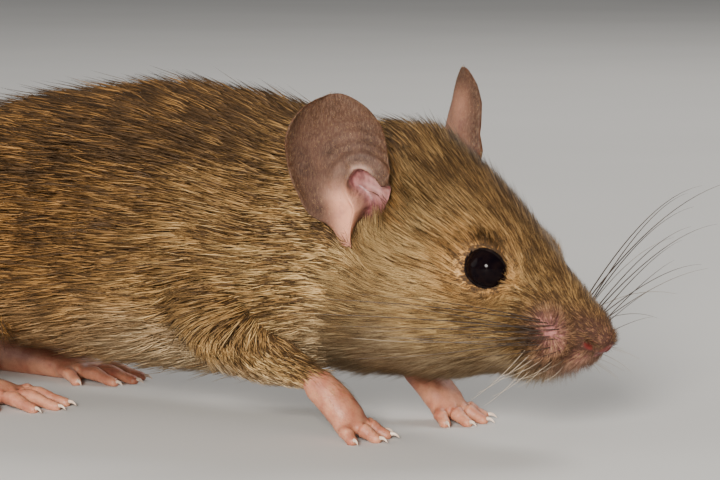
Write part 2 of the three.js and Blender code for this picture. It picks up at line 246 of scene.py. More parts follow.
@dataclass
class Patch:
    """A closed surface that goes into the skin, with what the coat has to know at each of its points."""

    points: Array
    faces: Array
    lie: Array  # which way the hair runs
    unwrap: Array  # its place on the flat unwrap of the skin, in 0..1
    place: Array  # how far along the part, in the part's own count
    region: Region

    @classmethod
    def of_rings(
        cls, rings: Array, region: Region, tile: Sequence[float], place: Array | None = None
    ) -> "Patch":
        """Closes rings of points into a skin: triangles between them, and a fan to the middle of each end.

        Args:
            rings: Points as [row, around, xyz].
            region: What kind of skin this is.
            tile: The unwrap's corner for it, as u from, v from, u to, v to.
            place: The place of each row, or the row's number if None.
        Returns:
            The patch, with its faces outwards.
        """
        rows, around = rings.shape[:2]
        ends = np.stack([rings[0].mean(0), rings[-1].mean(0)])
        points = np.concatenate([rings.reshape(-1, 3), ends])
        ring = np.arange(around)
        turned = (ring + 1) % around
        last = (rows - 1) * around
        first_pole, last_pole = np.full(around, rows * around), np.full(around, rows * around + 1)
        faces = np.concatenate(
            [
                between_rings(rows, around),
                np.stack([first_pole, turned, ring], -1),
                np.stack([last_pole, last + ring, last + turned], -1),
            ]
        )
        lie = unit(np.gradient(rings, axis=0)).reshape(-1, 3)
        end_lies = [unit(rings[1] - rings[0]).mean(0), unit(rings[-1] - rings[-2]).mean(0)]
        lie = np.concatenate([lie, end_lies])
        u = np.tile(np.linspace(0, 1, around, endpoint=False), rows)
        v = np.repeat(np.linspace(0, 1, rows), around)
        flat = np.stack([np.append(u, [0.5, 0.5]), np.append(v, [0.0, 1.0])], -1)
        flat = np.array(tile[:2]) + flat * (np.array(tile[2:]) - np.array(tile[:2]))
        along_it = np.arange(rows, dtype=float) if place is None else place
        along_it = np.concatenate([np.repeat(along_it, around), along_it[[0, -1]]])
        return cls(points, outwards(points, faces), lie, flat, along_it, region)

    @staticmethod
    def joined(patches: Sequence["Patch"]) -> tuple[Array, Array]:
        """Puts patches that don't touch side by side in one list of points and one of faces."""
        starts = np.cumsum([0] + [len(patch.points) for patch in patches[:-1]])
        points = np.concatenate([patch.points for patch in patches])
        faces = np.concatenate([patch.faces + start for patch, start in zip(patches, starts)])
        return points, faces


def bare_mesh(name: str, points: Array, faces: Array, smooth: bool = True) -> bpy.types.Mesh:
    """Makes a mesh of triangles from whole arrays, as they stand.

    Args:
        name: Name of the mesh.
        points: Its vertices.
        faces: Three vertex numbers for each triangle.
        smooth: Whether it is shaded smooth.
    Returns:
        The mesh.
    """
    mesh = bpy.data.meshes.new(name)
    mesh.vertices.add(len(points))
    mesh.vertices.foreach_set("co", np.ascontiguousarray(points, np.float32).ravel())
    mesh.loops.add(faces.size)
    mesh.loops.foreach_set("vertex_index", np.ascontiguousarray(faces, np.int32).ravel())
    mesh.polygons.add(len(faces))
    mesh.polygons.foreach_set("loop_start", np.arange(0, faces.size, 3, dtype=np.int32))
    mesh.polygons.foreach_set("use_smooth", np.full(len(faces), smooth))
    mesh.update(calc_edges=True)
    return mesh


def carry(mesh: bpy.types.Mesh, name: str, values: Array) -> None:
    """Stores a number, or a vector of three, for each vertex of a mesh."""
    kind = "FLOAT" if values.ndim == 1 else "FLOAT_VECTOR"
    attribute = mesh.attributes.new(name, kind, "POINT")
    word = "value" if values.ndim == 1 else "vector"
    attribute.data.foreach_set(word, np.ascontiguousarray(values, np.float32).ravel())


# ------------------------------------------------------------------ head, neck and trunk
def head_section(
    back: float, middle: float, wide: float, up: float, down: float, hair: float
) -> tuple[float, ...]:
    """Places a cross-section of the head, given back from the nose, in the body's own terms."""
    x, _, z = head_place((back, 0.0, middle))
    return (x, z, math.degrees(HEAD_PITCH), wide, up, down, hair)


@dataclass(frozen=True)
class Swelling:
    """A place where the flesh is raised, or hollowed, on both sides, fading over its spread."""

    place: tuple[float, float, float]
    swell: float
    spread: float


@dataclass
class Body:
    """The head, neck and trunk: one loft from the nose to the root of the tail."""

    # x, z, tilt in degrees, half-width, reach up, reach down, length of the hair
    sections: Sequence = (
        head_section(0.5, -0.35, 1.25, 1.15, 1.1, 0.6),  # nose
        head_section(1.5, -0.75, 2.05, 2.3, 2.3, 0.8),  # nostrils
        head_section(3.1, -1.15, 2.9, 3.15, 3.3, 1.0),  # whisker pads
        head_section(5.0, -1.15, 3.55, 4.1, 4.05, 1.25),  # corners of the mouth
        head_section(7.7, -1.3, 4.45, 5.45, 5.4, 1.8),  # bridge of the nose
        head_section(10.9, -1.6, 5.6, 7.2, 7.1, 2.3),  # eyes
        head_section(14.0, -1.8, 6.8, 8.45, 8.3, 2.7),  # cheeks
        head_section(17.3, -2.2, 7.35, 9.6, 9.4, 3.0),  # angles of the jaw
        head_section(20.5, -2.8, 7.75, 10.6, 10.1, 3.2),  # ears
        (-26.0, 14.0, 14, 8.7, 10.6, 10.1, 3.8),  # neck
        (-32.0, 14.7, 6, 10.2, 11.1, 10.9, 4.3),  # shoulders
        (-38.5, 15.2, 2, 11.6, 11.4, 11.4, 4.9),  # chest
        (-45.5, 15.2, 0, 12.3, 11.0, 11.0, 5.3),  # belly
        (-52.5, 14.9, -3, 12.4, 10.3, 10.1, 5.5),  # loin
        (-59.5, 14.2, -8, 11.5, 9.1, 8.8, 5.5),  # hips
        (-66.0, 13.2, -16, 9.4, 7.3, 6.8, 5.0),  # rump
        (-71.5, 11.9, -24, 6.2, 5.2, 4.8, 3.6),  # seat
        (-75.6, 10.0, -32, 2.3, 2.3, 2.2, 1.6),  # root of the tail
    )
    coat_share: float = 0.3  # depth of the coat over the length of its hair
    thinner_below: float = 0.45  # how much less deep it is under the belly
    nose_dome: float = 0.6
    rump_dome: float = 0.7
    around: int = 184
    cap_rows: int = 12
    # place along the body, and how many rows reach it
    row_stops: Sequence = ((0, 0), (1.2, 16), (2.2, 36), (6.2, 104), (8.6, 140), (10.5, 156), (17, 210))
    swellings: Sequence[Swelling] = (
        Swelling((3.2, 2.5, -2.2), 0.55, 1.5),  # whisker pad
        Swelling((6.4, 3.6, 0.6), -0.3, 1.7),  # hollow before the eye
        Swelling((10.2, 5.3, 3.2), 0.25, 1.8),  # brow
        Swelling((14.2, 6.6, -3.2), 0.7, 3.2),  # cheek
        Swelling((20.6, 6.2, 3.2), 0.6, 2.6),  # foot of the ear
    )

    def hair(self, place: Array) -> Array:
        """Gives the length of the hair at places counted in sections."""
        return along([section[6] for section in self.sections], place)

    def swollen(self, points: Array) -> Array:
        """Raises the head round each swelling: outwards by its height times a bell of the distance to it."""
        moved = points.copy()
        for swelling in self.swellings:
            back, _, up = swelling.place
            core = head_place((back, 0.0, up / 2))
            outwards = unit(points - core)
            for hand in HANDS:
                gap = np.linalg.norm(points - head_place(sided(swelling.place, hand)), axis=-1)
                bell = np.exp(-(gap**2) / (2 * swelling.spread**2))
                moved += outwards * (swelling.swell * bell)[..., None]
        return moved

    def surface(self, place: Array, turn: Array, inset: Array, push: Array, share: Array) -> Array:
        """Goes round the cross-section at each place: an oval of half-width by upper or lower reach.

        Args:
            place: Along the body, counted in sections.
            turn: Round the body, in radians, from the mouse's right over its back.
            inset: How far the surface lies inside the outline.
            push: How far a cap's row is pushed along the body.
            share: A cap's share of the full section.
        Returns:
            The points.
        """
        values = along([section[:6] for section in self.sections], place)
        x, z, tilt, wide, up, down = np.moveaxis(values, -1, 0)
        lean = np.radians(tilt)
        height = np.sin(turn)
        reach = np.where(height > 0, up, down) - inset
        rise = height * reach * share
        centre = np.stack([x, np.zeros_like(x), z], -1)
        backward = np.stack([-np.cos(lean), np.zeros_like(lean), np.sin(lean)], -1)
        upward = np.stack([np.sin(lean), np.zeros_like(lean), np.cos(lean)], -1)
        points = centre + backward * push[..., None] + upward * rise[..., None]
        points[..., 1] -= np.cos(turn) * (wide - inset) * share
        return self.swollen(points)

    def rows(self) -> tuple[Array, Array, Array]:
        """Gives each row's place, push and share: a quarter turn of rows makes the dome at either end."""
        stops, reached = np.array(self.row_stops, float).T
        places = np.interp(np.arange(reached[-1] + 1), reached, stops)
        quarter = np.linspace(0, np.pi / 2, self.cap_rows, endpoint=False)[1:]
        nose, rump = quarter, quarter[::-1]
        place = np.concatenate([np.zeros(len(nose)), places, np.full(len(rump), places[-1])])
        still = np.zeros(len(places))
        push = np.concatenate([-self.nose_dome * np.cos(nose), still, self.rump_dome * np.cos(rump)])
        share = np.concatenate([np.sin(nose), still + 1, np.sin(rump)])
        return place, push, share

    def skin(self) -> Patch:
        """Makes the body's skin, inside the outline by the depth of the coat, with the face sculpted."""
        place, push, share = self.rows()
        turn = np.linspace(0, 2 * np.pi, self.around, endpoint=False)
        shape = (len(place), self.around)
        spread = [np.broadcast_to(value[:, None], shape) for value in (place, push, share)]
        turns = np.broadcast_to(turn, shape)
        depth = self.coat_share * (1 - self.thinner_below * fade(-np.sin(turns), 0.1, 0.9))
        rings = self.surface(spread[0], turns, depth * self.hair(spread[0]), spread[1], spread[2])
        rings = Face().sculpt(rings)
        for hand in HANDS:
            rings = Ear(hand).canal(rings)
        return Patch.of_rings(rings, Region.BODY, (0.0, 0.0, 1.0, 0.7), place)


def grid_normals(rings: Array) -> Array:
    """Gives outward directions of a closed grid, square to its rows and to its rings."""
    down = np.gradient(rings, axis=0)
    wrapped = np.concatenate([rings[:, -1:], rings, rings[:, :1]], axis=1)
    across = (wrapped[:, 2:] - wrapped[:, :-2]) / 2
    normals = unit(np.cross(across, down))
    if dot(normals, rings - rings.mean(1, keepdims=True)).sum() < 0:
        normals = -normals
    return normals


@dataclass(frozen=True)
class Crease:
    """A groove, or a ridge if its depth is below zero, along a bent line on both sides of the head."""

    path: Sequence
    depth: float
    width: float


@dataclass
class Face:
    """The fine forms of the face, pressed into the skin of the head: nostrils, lips, chin and eye sockets."""

    creases: Sequence[Crease] = (
        Crease(((0.4, 1.0, -0.8), (0.72, 1.3, -0.7), (1.0, 1.55, -0.5)), 0.75, 0.17),  # nostril
        Crease(((0.3, 0.85, -0.4), (0.75, 1.3, -0.3), (1.2, 1.7, -0.3)), -0.14, 0.18),  # rim above it
        Crease(((0.45, 0.85, -1.15), (0.8, 1.25, -1.15), (1.2, 1.6, -1.0)), -0.1, 0.18),  # rim below it
        Crease(((-0.3, 0.0, -0.6), (0.1, 0.0, -1.3), (0.9, 0.0, -2.4)), 0.3, 0.14),  # cleft of the lip
        Crease(((0.9, 0.0, -2.5), (1.8, 0.9, -3.1), (3.4, 2.0, -3.7), (5.6, 3.0, -3.9)), 0.38, 0.2),  # mouth
    )
    chin: tuple[float, float] = (2.6, 0.75)  # how far back it starts, and how far it is drawn up
    follicle_height: float = 0.07
    follicle_width: float = 0.24
    mound_radius: float = 2.9
    mound_top: float = 1.75
    rim_drop: float = 0.1
    socket_floor: float = -0.5
    socket_back: float = -2.6  # how far behind the eye skin is still drawn up

    def sculpt(self, rings: Array) -> Array:
        """Presses every form of the face into the grid of the body.

        Args:
            rings: The body's grid.
        Returns:
            The grid with the face in it.
        """
        rings = self.follicles(rings)
        places = head_view(rings)
        mirrored = np.stack([places[..., 0], np.abs(places[..., 1]), places[..., 2]], -1)
        normals = grid_normals(rings)
        moved = np.zeros(rings.shape[:-1])
        for crease in self.creases:
            gap = path_gap(mirrored, crease.path)
            moved -= crease.depth * np.exp(-((gap / crease.width) ** 2))
        back, _, up = np.moveaxis(places, -1, 0)
        under = fade(up, -2.6, -3.6) * fade(back, self.chin[0] + 2.5, self.chin[0])
        rings = rings + normals * moved[..., None]
        rings = rings + HEAD_AXES[2] * (under * self.chin[1])[..., None]
        for hand in HANDS:
            rings = self.socketed(rings, hand)
        return rings

    def follicles(self, rings: Array) -> Array:
        """Raises a low bump for each whisker of the pad, as a sum of bells."""
        normals = grid_normals(rings)
        for hand in HANDS:
            for root in Whiskers.roots(hand):
                gap = np.linalg.norm(rings - head_place(root), axis=-1)
                bump = self.follicle_height * np.exp(-((gap / self.follicle_width) ** 2))
                rings = rings + normals * bump[..., None]
        return rings

    def socketed(self, rings: Array, hand: int) -> Array:
        """Draws the skin up to the rim of an eye, and presses it in behind the ball, along the eye's axis."""
        eye = EyeOpening(hand)
        apart = rings - eye.centre
        height = dot(apart, eye.axis)
        aside, above = dot(apart, eye.forward), dot(apart, eye.upward)
        share = np.hypot(aside / eye.half_length, above / eye.half_height)
        rim = np.hypot(aside, above) / np.maximum(share, 1e-6)
        reach = share * eye.half_length
        near = height > self.socket_back
        rise = np.sqrt(np.maximum(EYE_RADIUS**2 - rim**2, LEAST_SQUARE)) - self.rim_drop
        mound = blend(height, rise, fade(reach, self.mound_radius, self.mound_top))
        settled = blend(mound, self.socket_floor, fade(reach, eye.half_length + 0.1, eye.half_length - 0.22))
        return rings + eye.axis * (np.where(near, settled, height) - height)[..., None]


@dataclass
class EyeOpening:
    """The opening of one eye: its centre and axes, and the rim where the lids meet the eyeball."""

    hand: int
    looking: tuple[float, float, float] = (-0.26, 1.0, 0.2)  # back, side, up
    half_length: float = 1.56
    half_height: float = 1.24
    clearance: float = 0.02
    sunk: float = 0.58

    def __post_init__(self) -> None:
        """Works out the eye's axes: the way it looks, forwards along the opening, and up across it."""
        self.axis = unit(sided(self.looking, self.hand) @ HEAD_AXES)
        self.centre = head_place(sided(EYE, self.hand)) - self.sunk * self.axis
        forward = -HEAD_AXES[0]
        self.forward = unit(forward - dot(forward, self.axis) * self.axis)
        self.upward = unit(HEAD_AXES[2] - dot(HEAD_AXES[2], self.axis) * self.axis)
        self.upward = unit(self.upward - dot(self.upward, self.forward) * self.forward)

    def rim(self, turn: Array, grow: float = 0.0, lift: float = 0.0) -> Array:
        """Goes round the opening on the eyeball: an oval with faint corners, at the ball's height there.

        Args:
            turn: Angles round the opening.
            grow: How much wider than the opening.
            lift: How far above the eyeball.
        Returns:
            The points.
        """
        corner = 0.09 * np.maximum(np.cos(turn), 0) ** 12 + 0.05 * np.maximum(-np.cos(turn), 0) ** 12
        aside = (self.half_length + grow + corner) * np.cos(turn)
        above = (self.half_height + grow) * np.sin(turn) - 0.05 * np.cos(turn)
        radius = EYE_RADIUS + self.clearance
        height = np.sqrt(np.maximum(radius**2 - aside**2 - above**2, LEAST_SQUARE)) + lift
        reach = aside[..., None] * self.forward + above[..., None] * self.upward
        return self.centre + reach + height[..., None] * self.axis


@dataclass
class Lids:
    """The rim of skin round an eye: a bent ring that lies on the eyeball."""

    around: int = 96
    rows: int = 18
    half_width: float = 0.12
    half_depth: float = 0.09

    def skin(self, hand: int) -> Patch:
        """Carries a flattened round profile round the opening of the eye.

        Args:
            hand: The side.
        Returns:
            The ring, closed on itself.
        """
        eye = EyeOpening(hand)
        turn = np.linspace(0, 2 * np.pi, self.around, endpoint=False)
        inner, outer = eye.rim(turn, 0.0, 0.0), eye.rim(turn, 0.22, -0.02)
        middle = blend(inner, outer, 0.52)
        across_rim = unit(outer - inner)
        tangent = unit(np.roll(middle, -1, axis=0) - np.roll(middle, 1, axis=0))
        above = unit(np.cross(across_rim, tangent))
        above = above * np.sign(dot(above, eye.axis))[:, None]
        bend = np.linspace(0, 2 * np.pi, self.rows, endpoint=False)
        wave = 1 + 0.15 * np.sin(5 * turn + 1) * np.sin(2 * turn)
        across = np.cos(bend)[:, None, None] * self.half_width
        lift = np.sin(bend)[:, None, None] * (self.half_depth * wave)[None, :, None]
        rings = middle + across_rim * across + above * lift
        points = rings.reshape(-1, 3)
        count = len(points)
        faces = outwards(points, between_rings(self.rows + 1, self.around) % count)
        lie = np.tile(across_rim, (self.rows, 1))
        row, column = np.divmod(np.arange(count), self.around)
        side = 0.82 if hand == LEFT else 0.88
        flat = np.stack([blend(side, side + 0.05, column / self.around), blend(0.92, 0.97, row / self.rows)], -1)
        return Patch(points, faces, lie, flat, np.zeros(count), Region.LID)


# ------------------------------------------------------------------ limbs, feet and tail
def tube(knots: Array, rows: int, around: int, domes: tuple[float, float], cap_rows: int = 6) -> Array:
    """Carries a round section along a curve through knots, closed by a quarter turn of rows at either end.

    Args:
        knots: Rows of x, y, z, half-width across and half-depth.
        rows: Rows between the caps.
        around: Points round each row.
        domes: How round the first and the last end are, as a share of the depth.
        cap_rows: Rows in each cap.
    Returns:
        Points as [row, around, xyz].
    """
    knots = np.asarray(knots, float)
    quarter = np.linspace(0, np.pi / 2, cap_rows, endpoint=False)[1:]
    last = len(knots) - 1.0
    place = np.concatenate([np.zeros(len(quarter)), np.linspace(0, last, rows), np.full(len(quarter), last)])
    still = np.zeros(rows)
    push = np.concatenate([-domes[0] * np.cos(quarter), still, domes[1] * np.cos(quarter[::-1])])
    share = np.concatenate([np.sin(quarter), still + 1, np.sin(quarter[::-1])])
    values = along(knots, place)
    forward = unit(along(knots[:, :3], place + 0.05) - along(knots[:, :3], place - 0.05))
    level = unit(np.stack([-forward[:, 1], forward[:, 0], np.zeros(len(place))], -1))
    upward = np.cross(forward, level)
    turn = np.linspace(0, 2 * np.pi, around, endpoint=False)
    wide = (values[:, 3] * share)[:, None, None] * np.cos(turn)[None, :, None]
    deep = (values[:, 4] * share)[:, None, None] * np.sin(turn)[None, :, None]
    centre = values[:, :3] + forward * (push * values[:, 4])[:, None]
    return centre[:, None] + level[:, None] * wide + upward[:, None] * deep


@dataclass
class Limb:
    """One leg: its fleshy tubes under the coat, its foot, its toes and their claws, on one side."""

    hand: int
    tubes: Sequence[Sequence]
    sole: Sequence
    toes: Sequence
    stride: float
    inset: float
    tile: tuple[float, float]
    stride_top: float = 14.0
    toe_radius: float = 0.62
    tip_radius: float = 0.45
    knuckle_rise: float = 0.22
    pressed: float = 0.6
    folds: int = 7
    fold_depth: float = 0.045

    def placed(self, knots: Sequence) -> Array:
        """Puts knots given for the standing side on this side, leaning to where its foot stands."""
        knots = np.array(knots, float)
        knots[:, 0] += self.stride * np.clip(1 - knots[:, 2] / self.stride_top, 0, 1)
        knots[:, 1] *= self.hand
        return knots

    def flesh(self) -> list[Patch]:
        """Makes the leg's tubes, inside the outline by the depth of the coat."""
        patches = []
        for number, knots in enumerate(self.tubes):
            knots = self.placed(knots)
            knots[:, 3:] -= self.inset
            u, v = self.tile[0] + 0.05 * number, self.tile[1]
            rings = tube(knots, 30, 44, (1.0, 0.8))
            place = np.linspace(0, 1, len(rings))
            patches.append(Patch.of_rings(rings, Region.LEG, (u, v, u + 0.045, v + 0.08), place))
        return patches

    def foot(self) -> Patch:
        """Makes the sole or palm, flattened where it meets the ground."""
        rings = tube(self.placed(self.sole), 34, 40, (0.8, 0.8))
        rings[..., 2] = np.maximum(rings[..., 2], 0.0)
        u, v = self.tile
        return Patch.of_rings(rings, Region.FOOT, (u + 0.1, v, u + 0.145, v + 0.08))

    def toe_knots(self, toe: tuple) -> Array:
        """Gives the knots of a toe: from its root over a raised knuckle down to a tip on the ground."""
        (x0, y0), (x1, y1) = toe
        stops = [self.sole[-1][2], self.toe_radius + self.knuckle_rise, self.tip_radius * self.pressed]
        shares = np.array([0.0, 0.25, 0.5, 0.75, 1.0])
        heights = np.interp(shares, [0, 0.5, 1], stops)
        radii = np.array([self.toe_radius, 0.56, self.toe_radius, 0.48, self.tip_radius])
        return self.placed(np.stack([blend(x0, x1, shares), blend(y0, y1, shares), heights, radii, radii], -1))

    def digits(self) -> list[Patch]:
        """Makes the toes, ringed with soft folds and padded underneath at the tip."""
        patches = []
        for number, toe in enumerate(self.toes):
            rings = tube(self.toe_knots(toe), 36, 18, (1.0, 1.0))
            centre = rings.mean(1, keepdims=True)
            share = np.linspace(0, 1, len(rings))[:, None, None]
            wave = 0.5 + 0.5 * np.cos(share * 2 * np.pi * self.folds)
            narrowed = 1 - self.fold_depth * wave * fade(share, 0.15, 0.3) * fade(share, 0.95, 0.8)
            rings = centre + (rings - centre) * narrowed
            rings[..., 2] = np.maximum(rings[..., 2], 0.0)
            u, v = self.tile[0] + 0.15 + 0.009 * number, self.tile[1]
            patches.append(Patch.of_rings(rings, Region.FOOT, (u, v, u + 0.008, v + 0.08)))
        return patches


# knots of the tubes as x, y, z, half-width and half-depth, and of the toes as x, y of root and tip
THIGH = (
    (-63.6, 4.7, 16.0, 2.8, 3.6),
    (-60.2, 7.5, 13.3, 5.2, 6.2),
    (-56.2, 8.2, 10.8, 4.7, 6.0),
    (-53.2, 8.1, 8.7, 3.4, 4.4),
)
SHANK = ((-54.6, 8.2, 8.2, 3.0, 3.6), (-58.6, 8.4, 6.0, 2.7, 3.2), (-61.8, 8.0, 4.3, 1.9, 2.1))
HIND_SOLE = (
    (-62.8, 7.7, 1.45, 1.35, 1.6),
    (-58.8, 7.5, 1.25, 1.35, 1.45),
    (-54.8, 7.3, 1.0, 1.75, 1.2),
    (-52.2, 7.2, 0.85, 2.05, 1.05),
)
HIND_TOES = (
    ((-53.6, 5.5), (-50.6, 4.0)),
    ((-52.4, 6.0), (-47.6, 5.3)),
    ((-52.0, 7.2), (-47.0, 7.3)),
    ((-52.4, 8.3), (-47.7, 9.3)),
    ((-53.8, 8.8), (-50.8, 10.5)),
)
ARM = (
    (-34.0, 4.0, 13.4, 2.4, 3.2),
    (-31.0, 6.6, 9.4, 3.4, 4.2),
    (-27.4, 6.5, 6.2, 2.4, 2.8),
    (-23.0, 5.9, 4.5, 1.4, 1.45),
)
PALM = ((-22.5, 5.8, 4.1, 1.3, 1.25), (-20.9, 5.6, 2.7, 1.55, 1.3), (-19.5, 5.4, 1.05, 1.85, 1.2))
FINGERS = (
    ((-20.0, 4.2), (-18.6, 2.9)),
    ((-19.4, 4.8), (-17.3, 4.1)),
    ((-19.3, 5.9), (-17.0, 6.0)),
    ((-19.8, 6.7), (-18.0, 7.8)),
)

# height above the ground, and the length of a leg's or a foot's hair there; tail and ears have one length
LEG_HAIR = ((1.5, 0.6), (3.5, 1.1), (6.0, 2.0), (9.0, 3.0), (13.0, 4.0))
FOOT_HAIR = ((1.5, 0.4), (3.0, 0.6), (4.6, 1.4))
TAIL_HAIR = 0.8
EAR_HAIR = 0.42


def all_limbs() -> list[Limb]:
    """Gives the four limbs, each with its stride, the depth of its coat and its tile of the unwrap."""
    limbs = []
    for hand, fore_stride, hind_stride, column in ((LEFT, 2.4, -3.2, 0.0), (RIGHT, 0.0, 0.0, 0.5)):
        limbs.append(Limb(hand, [ARM], PALM, FINGERS, fore_stride, 0.75, (column, 0.72)))
        tile = (column + 0.24, 0.72)
        limbs.append(Limb(hand, [THIGH, SHANK], HIND_SOLE, HIND_TOES, hind_stride, 0.95, tile))
    return limbs


@dataclass
class Tail:
    """The tail: it comes down behind the rump and lies on the ground in a slow bend, ringed with scales."""

    length: float = 76.0
    root_back: float = 75.2
    root_height: float = 9.9
    root_radius: float = 1.75
    tip_radius: float = 0.45
    drop: float = 19.0
    swing: float = math.radians(34)
    swings: float = 1.35
    flat: float = 0.16
    knots: int = 24
    rings: int = 170
    rows_a_ring: int = 4
    around: int = 16
    ring_depth: float = 0.035
    sunk: float = 5.0  # how far the root goes on into the rump
    sunk_rise: float = 0.6

    def path(self) -> Array:
        """Gives knots: the heading swings as a sine, height falls by a smooth step, and radius by a power."""
        step = self.length / (self.knots - 1)
        share = np.arange(self.knots) / (self.knots - 1)
        radius = blend(self.root_radius, self.tip_radius, share**0.8)
        height = blend(self.root_height, radius - self.flat, fade(share * self.length, 0, self.drop))
        slope = np.diff(height, prepend=height[0]) / step
        forward = step * np.sqrt(np.maximum(0.2, 1 - slope**2))
        heading = self.swing * np.sin(share * np.pi * self.swings)
        x = -self.root_back - np.concatenate([[0], np.cumsum(forward * np.cos(heading))[:-1]])
        y = np.concatenate([[0], np.cumsum(forward * np.sin(heading))[:-1]])
        return np.stack([x, y, height, radius, radius], -1)

    def skin(self) -> Patch:
        """Carries the section along the path, with a shallow furrow between the rings of scales."""
        knots = self.path()
        start = knots[0].copy()
        start[0] += self.sunk
        start[2] += self.sunk_rise
        rows = self.rings * self.rows_a_ring
        rings = tube(np.concatenate([start[None], knots]), rows, self.around, (1.0, 1.0))
        centre = rings.mean(1, keepdims=True)
        wave = np.cos(np.arange(len(rings)) * 2 * np.pi / self.rows_a_ring)[:, None, None]
        rings = centre + (rings - centre) * (1 + self.ring_depth * wave)
        rings[..., 2] = np.maximum(rings[..., 2], 0.0)
        return Patch.of_rings(rings, Region.TAIL, (0.0, 0.82, 0.4, 0.98))


# ------------------------------------------------------------------ ears
@dataclass
class Ear:
    """An ear: a thin sheet rolled into a cup, folded inside over the opening, with a lobe before its foot."""

    hand: int
    heights: dict[int, float] = field(default_factory=lambda: {LEFT: 12.8, RIGHT: 11.8})
    foot: tuple[float, float, float] = (20.7, 6.0, -1.2)
    tips: dict[int, tuple] = field(default_factory=lambda: {LEFT: (24.4, 8.8, 10.9), RIGHT: (24.2, 9.6, 9.6)})
    facings: dict[int, tuple] = field(
        default_factory=lambda: {LEFT: (-0.7, 0.71, 0.1), RIGHT: (-0.62, 0.78, 0.1)}
    )
    width: float = 7.9
    foot_radius: float = 2.3
    widest: float = 0.6
    roundness: float = 2.85  # power of the oval that closes the top
    foot_arc: float = 145.0
    tip_arc: float = 52.0
    thickness: float = 0.42
    rows: int = 88
    across: int = 60
    # share of the half-width at which the sheet ends behind and in front, at shares of the height
    rear_edge: Sequence = (
        (0.0, -0.2), (0.06, -0.25), (0.12, -0.32), (0.17, -0.42), (0.2, -0.52), (0.27, -0.68),
        (0.36, -0.83), (0.5, -0.98), (0.66, -1.03), (0.82, -1.13), (0.92, -1.13), (1.0, -0.98),
    )
    front_edge: Sequence = (
        (0.0, 0.3), (0.1, 0.42), (0.2, 0.56), (0.3, 0.7), (0.39, 0.78), (0.5, 0.87),
        (0.64, 0.86), (0.79, 0.81), (0.9, 0.69), (0.95, 0.58), (1.0, 0.45),
    )
    # forms of the inside, as share of the half-width towards the front and share of the height
    ridge: Sequence = (
        (0.0, 0.4), (0.08, 0.46), (0.2, 0.5), (0.35, 0.51), (0.5, 0.49), (0.65, 0.45), (0.8, 0.4),
    )
    # distance from the ridge, depth and width of each fold beyond it, in millimetres
    folds: Sequence = ((0.85, 0.22, 0.3), (1.7, 0.13, 0.3), (2.6, 0.11, 0.35), (3.5, 0.07, 0.4))
    lobe_edge: Sequence = (
        (0.2, 0.48), (0.13, 0.44), (0.08, 0.4), (0.13, 0.36), (0.29, 0.31),
        (0.36, 0.25), (0.27, 0.18), (0.15, 0.11), (0.08, 0.05), (0.1, -0.1),
    )
    tile_start: dict[int, float] = field(default_factory=lambda: {LEFT: 0.45, RIGHT: 0.63})
    tile_width: float = 0.16
    lobe_height: float = 1.5
    bowl_depth: float = 0.45

    def frame(self) -> tuple[Array, Array, Array, Array]:
        """Gives the foot's place and the ear's axes: up it, the way it faces, and across to its front edge."""
        foot = head_place(sided(self.foot, self.hand))
        rise = unit(head_place(sided(self.tips[self.hand], self.hand)) - foot)
        facing = sided(self.facings[self.hand], self.hand) @ HEAD_AXES
        facing = unit(facing - dot(facing, rise) * rise)
        return foot, rise, facing, -self.hand * np.cross(rise, facing)

    def half_width(self, height: Array) -> Array:
        """Widens by a smooth step up to the widest place, and closes above it as a full oval."""
        top = np.clip((height - self.widest) / (1 - self.widest), 0, 1)
        lower = blend(self.foot_radius, self.width / 2, fade(height, 0, self.widest))
        closed = np.maximum(0, 1 - top**self.roundness) ** (1 / self.roundness)
        return np.where(height > self.widest, self.width / 2 * closed, lower)

    def inside(self, points: Array) -> tuple[Array, Array]:
        """Gives how far places lie from the axis of the tube at the ear's foot, and how far up the ear."""
        foot, rise, facing, _ = self.frame()
        apart = points - foot
        height = dot(apart, rise)
        return np.linalg.norm(apart - height[..., None] * rise - self.foot_radius * facing, axis=-1), height

    def in_cup(self, points: Array, lowest: float = 2.5) -> Array:
        """Tells which places of the head's own skin line the inside of the ear."""
        foot, _, _, across = self.frame()
        gap, height = self.inside(points)
        aside = dot(points - foot, across)
        return (gap < 3.0) & (height > lowest) & (height < 7.0) & (aside > -0.8) & (aside < 2.7)

    def canal(self, rings: Array) -> Array:
        """Sinks the skin of the head inside the ear's tube, away from its mouth."""
        facing = self.frame()[2]
        gap, height = self.inside(rings)
        sunk = 1.3 * fade(gap, 3.3, 2.0) * fade(height, 0.4, 1.8) * fade(height, 7.5, 6.0)
        return rings - facing * sunk[..., None]

    def front_at(self, share: Array, height: Array) -> Array:
        """Goes from the rear edge to the front edge at each height as the share goes from -1 to 1."""
        rear, front = along_steps(self.rear_edge, height), along_steps(self.front_edge, height)
        return blend(rear, front, (share + 1) / 2)

    def sheet(self, front: Array, height: Array, offset: Array) -> Array:
        """Rolls the sheet: at each height an arc about an axis in front of it.

        Args:
            front: Share of the half-arc towards the front edge, from -1 to 1.
            height: Share of the ear's height.
            offset: How far outside the middle of the sheet.
        Returns:
            The points.
        """
        foot, rise, facing, across = self.frame()
        half_arc = np.radians(blend(self.foot_arc, self.tip_arc, np.minimum(1, height / self.widest)))
        radius = self.half_width(height) / np.sin(np.minimum(half_arc, np.pi / 2))
        angle = half_arc * front
        up = (height * self.heights[self.hand])[..., None] * rise
        forward = (radius - (radius + offset) * np.cos(angle))[..., None] * facing
        return foot + up + forward + ((radius + offset) * np.sin(angle))[..., None] * across

    def edge_at(self, height: Array) -> Array:
        """Gives how far forwards the lobe's edge lies at each height."""
        return along_steps([knot[::-1] for knot in self.lobe_edge[::-1]], height)

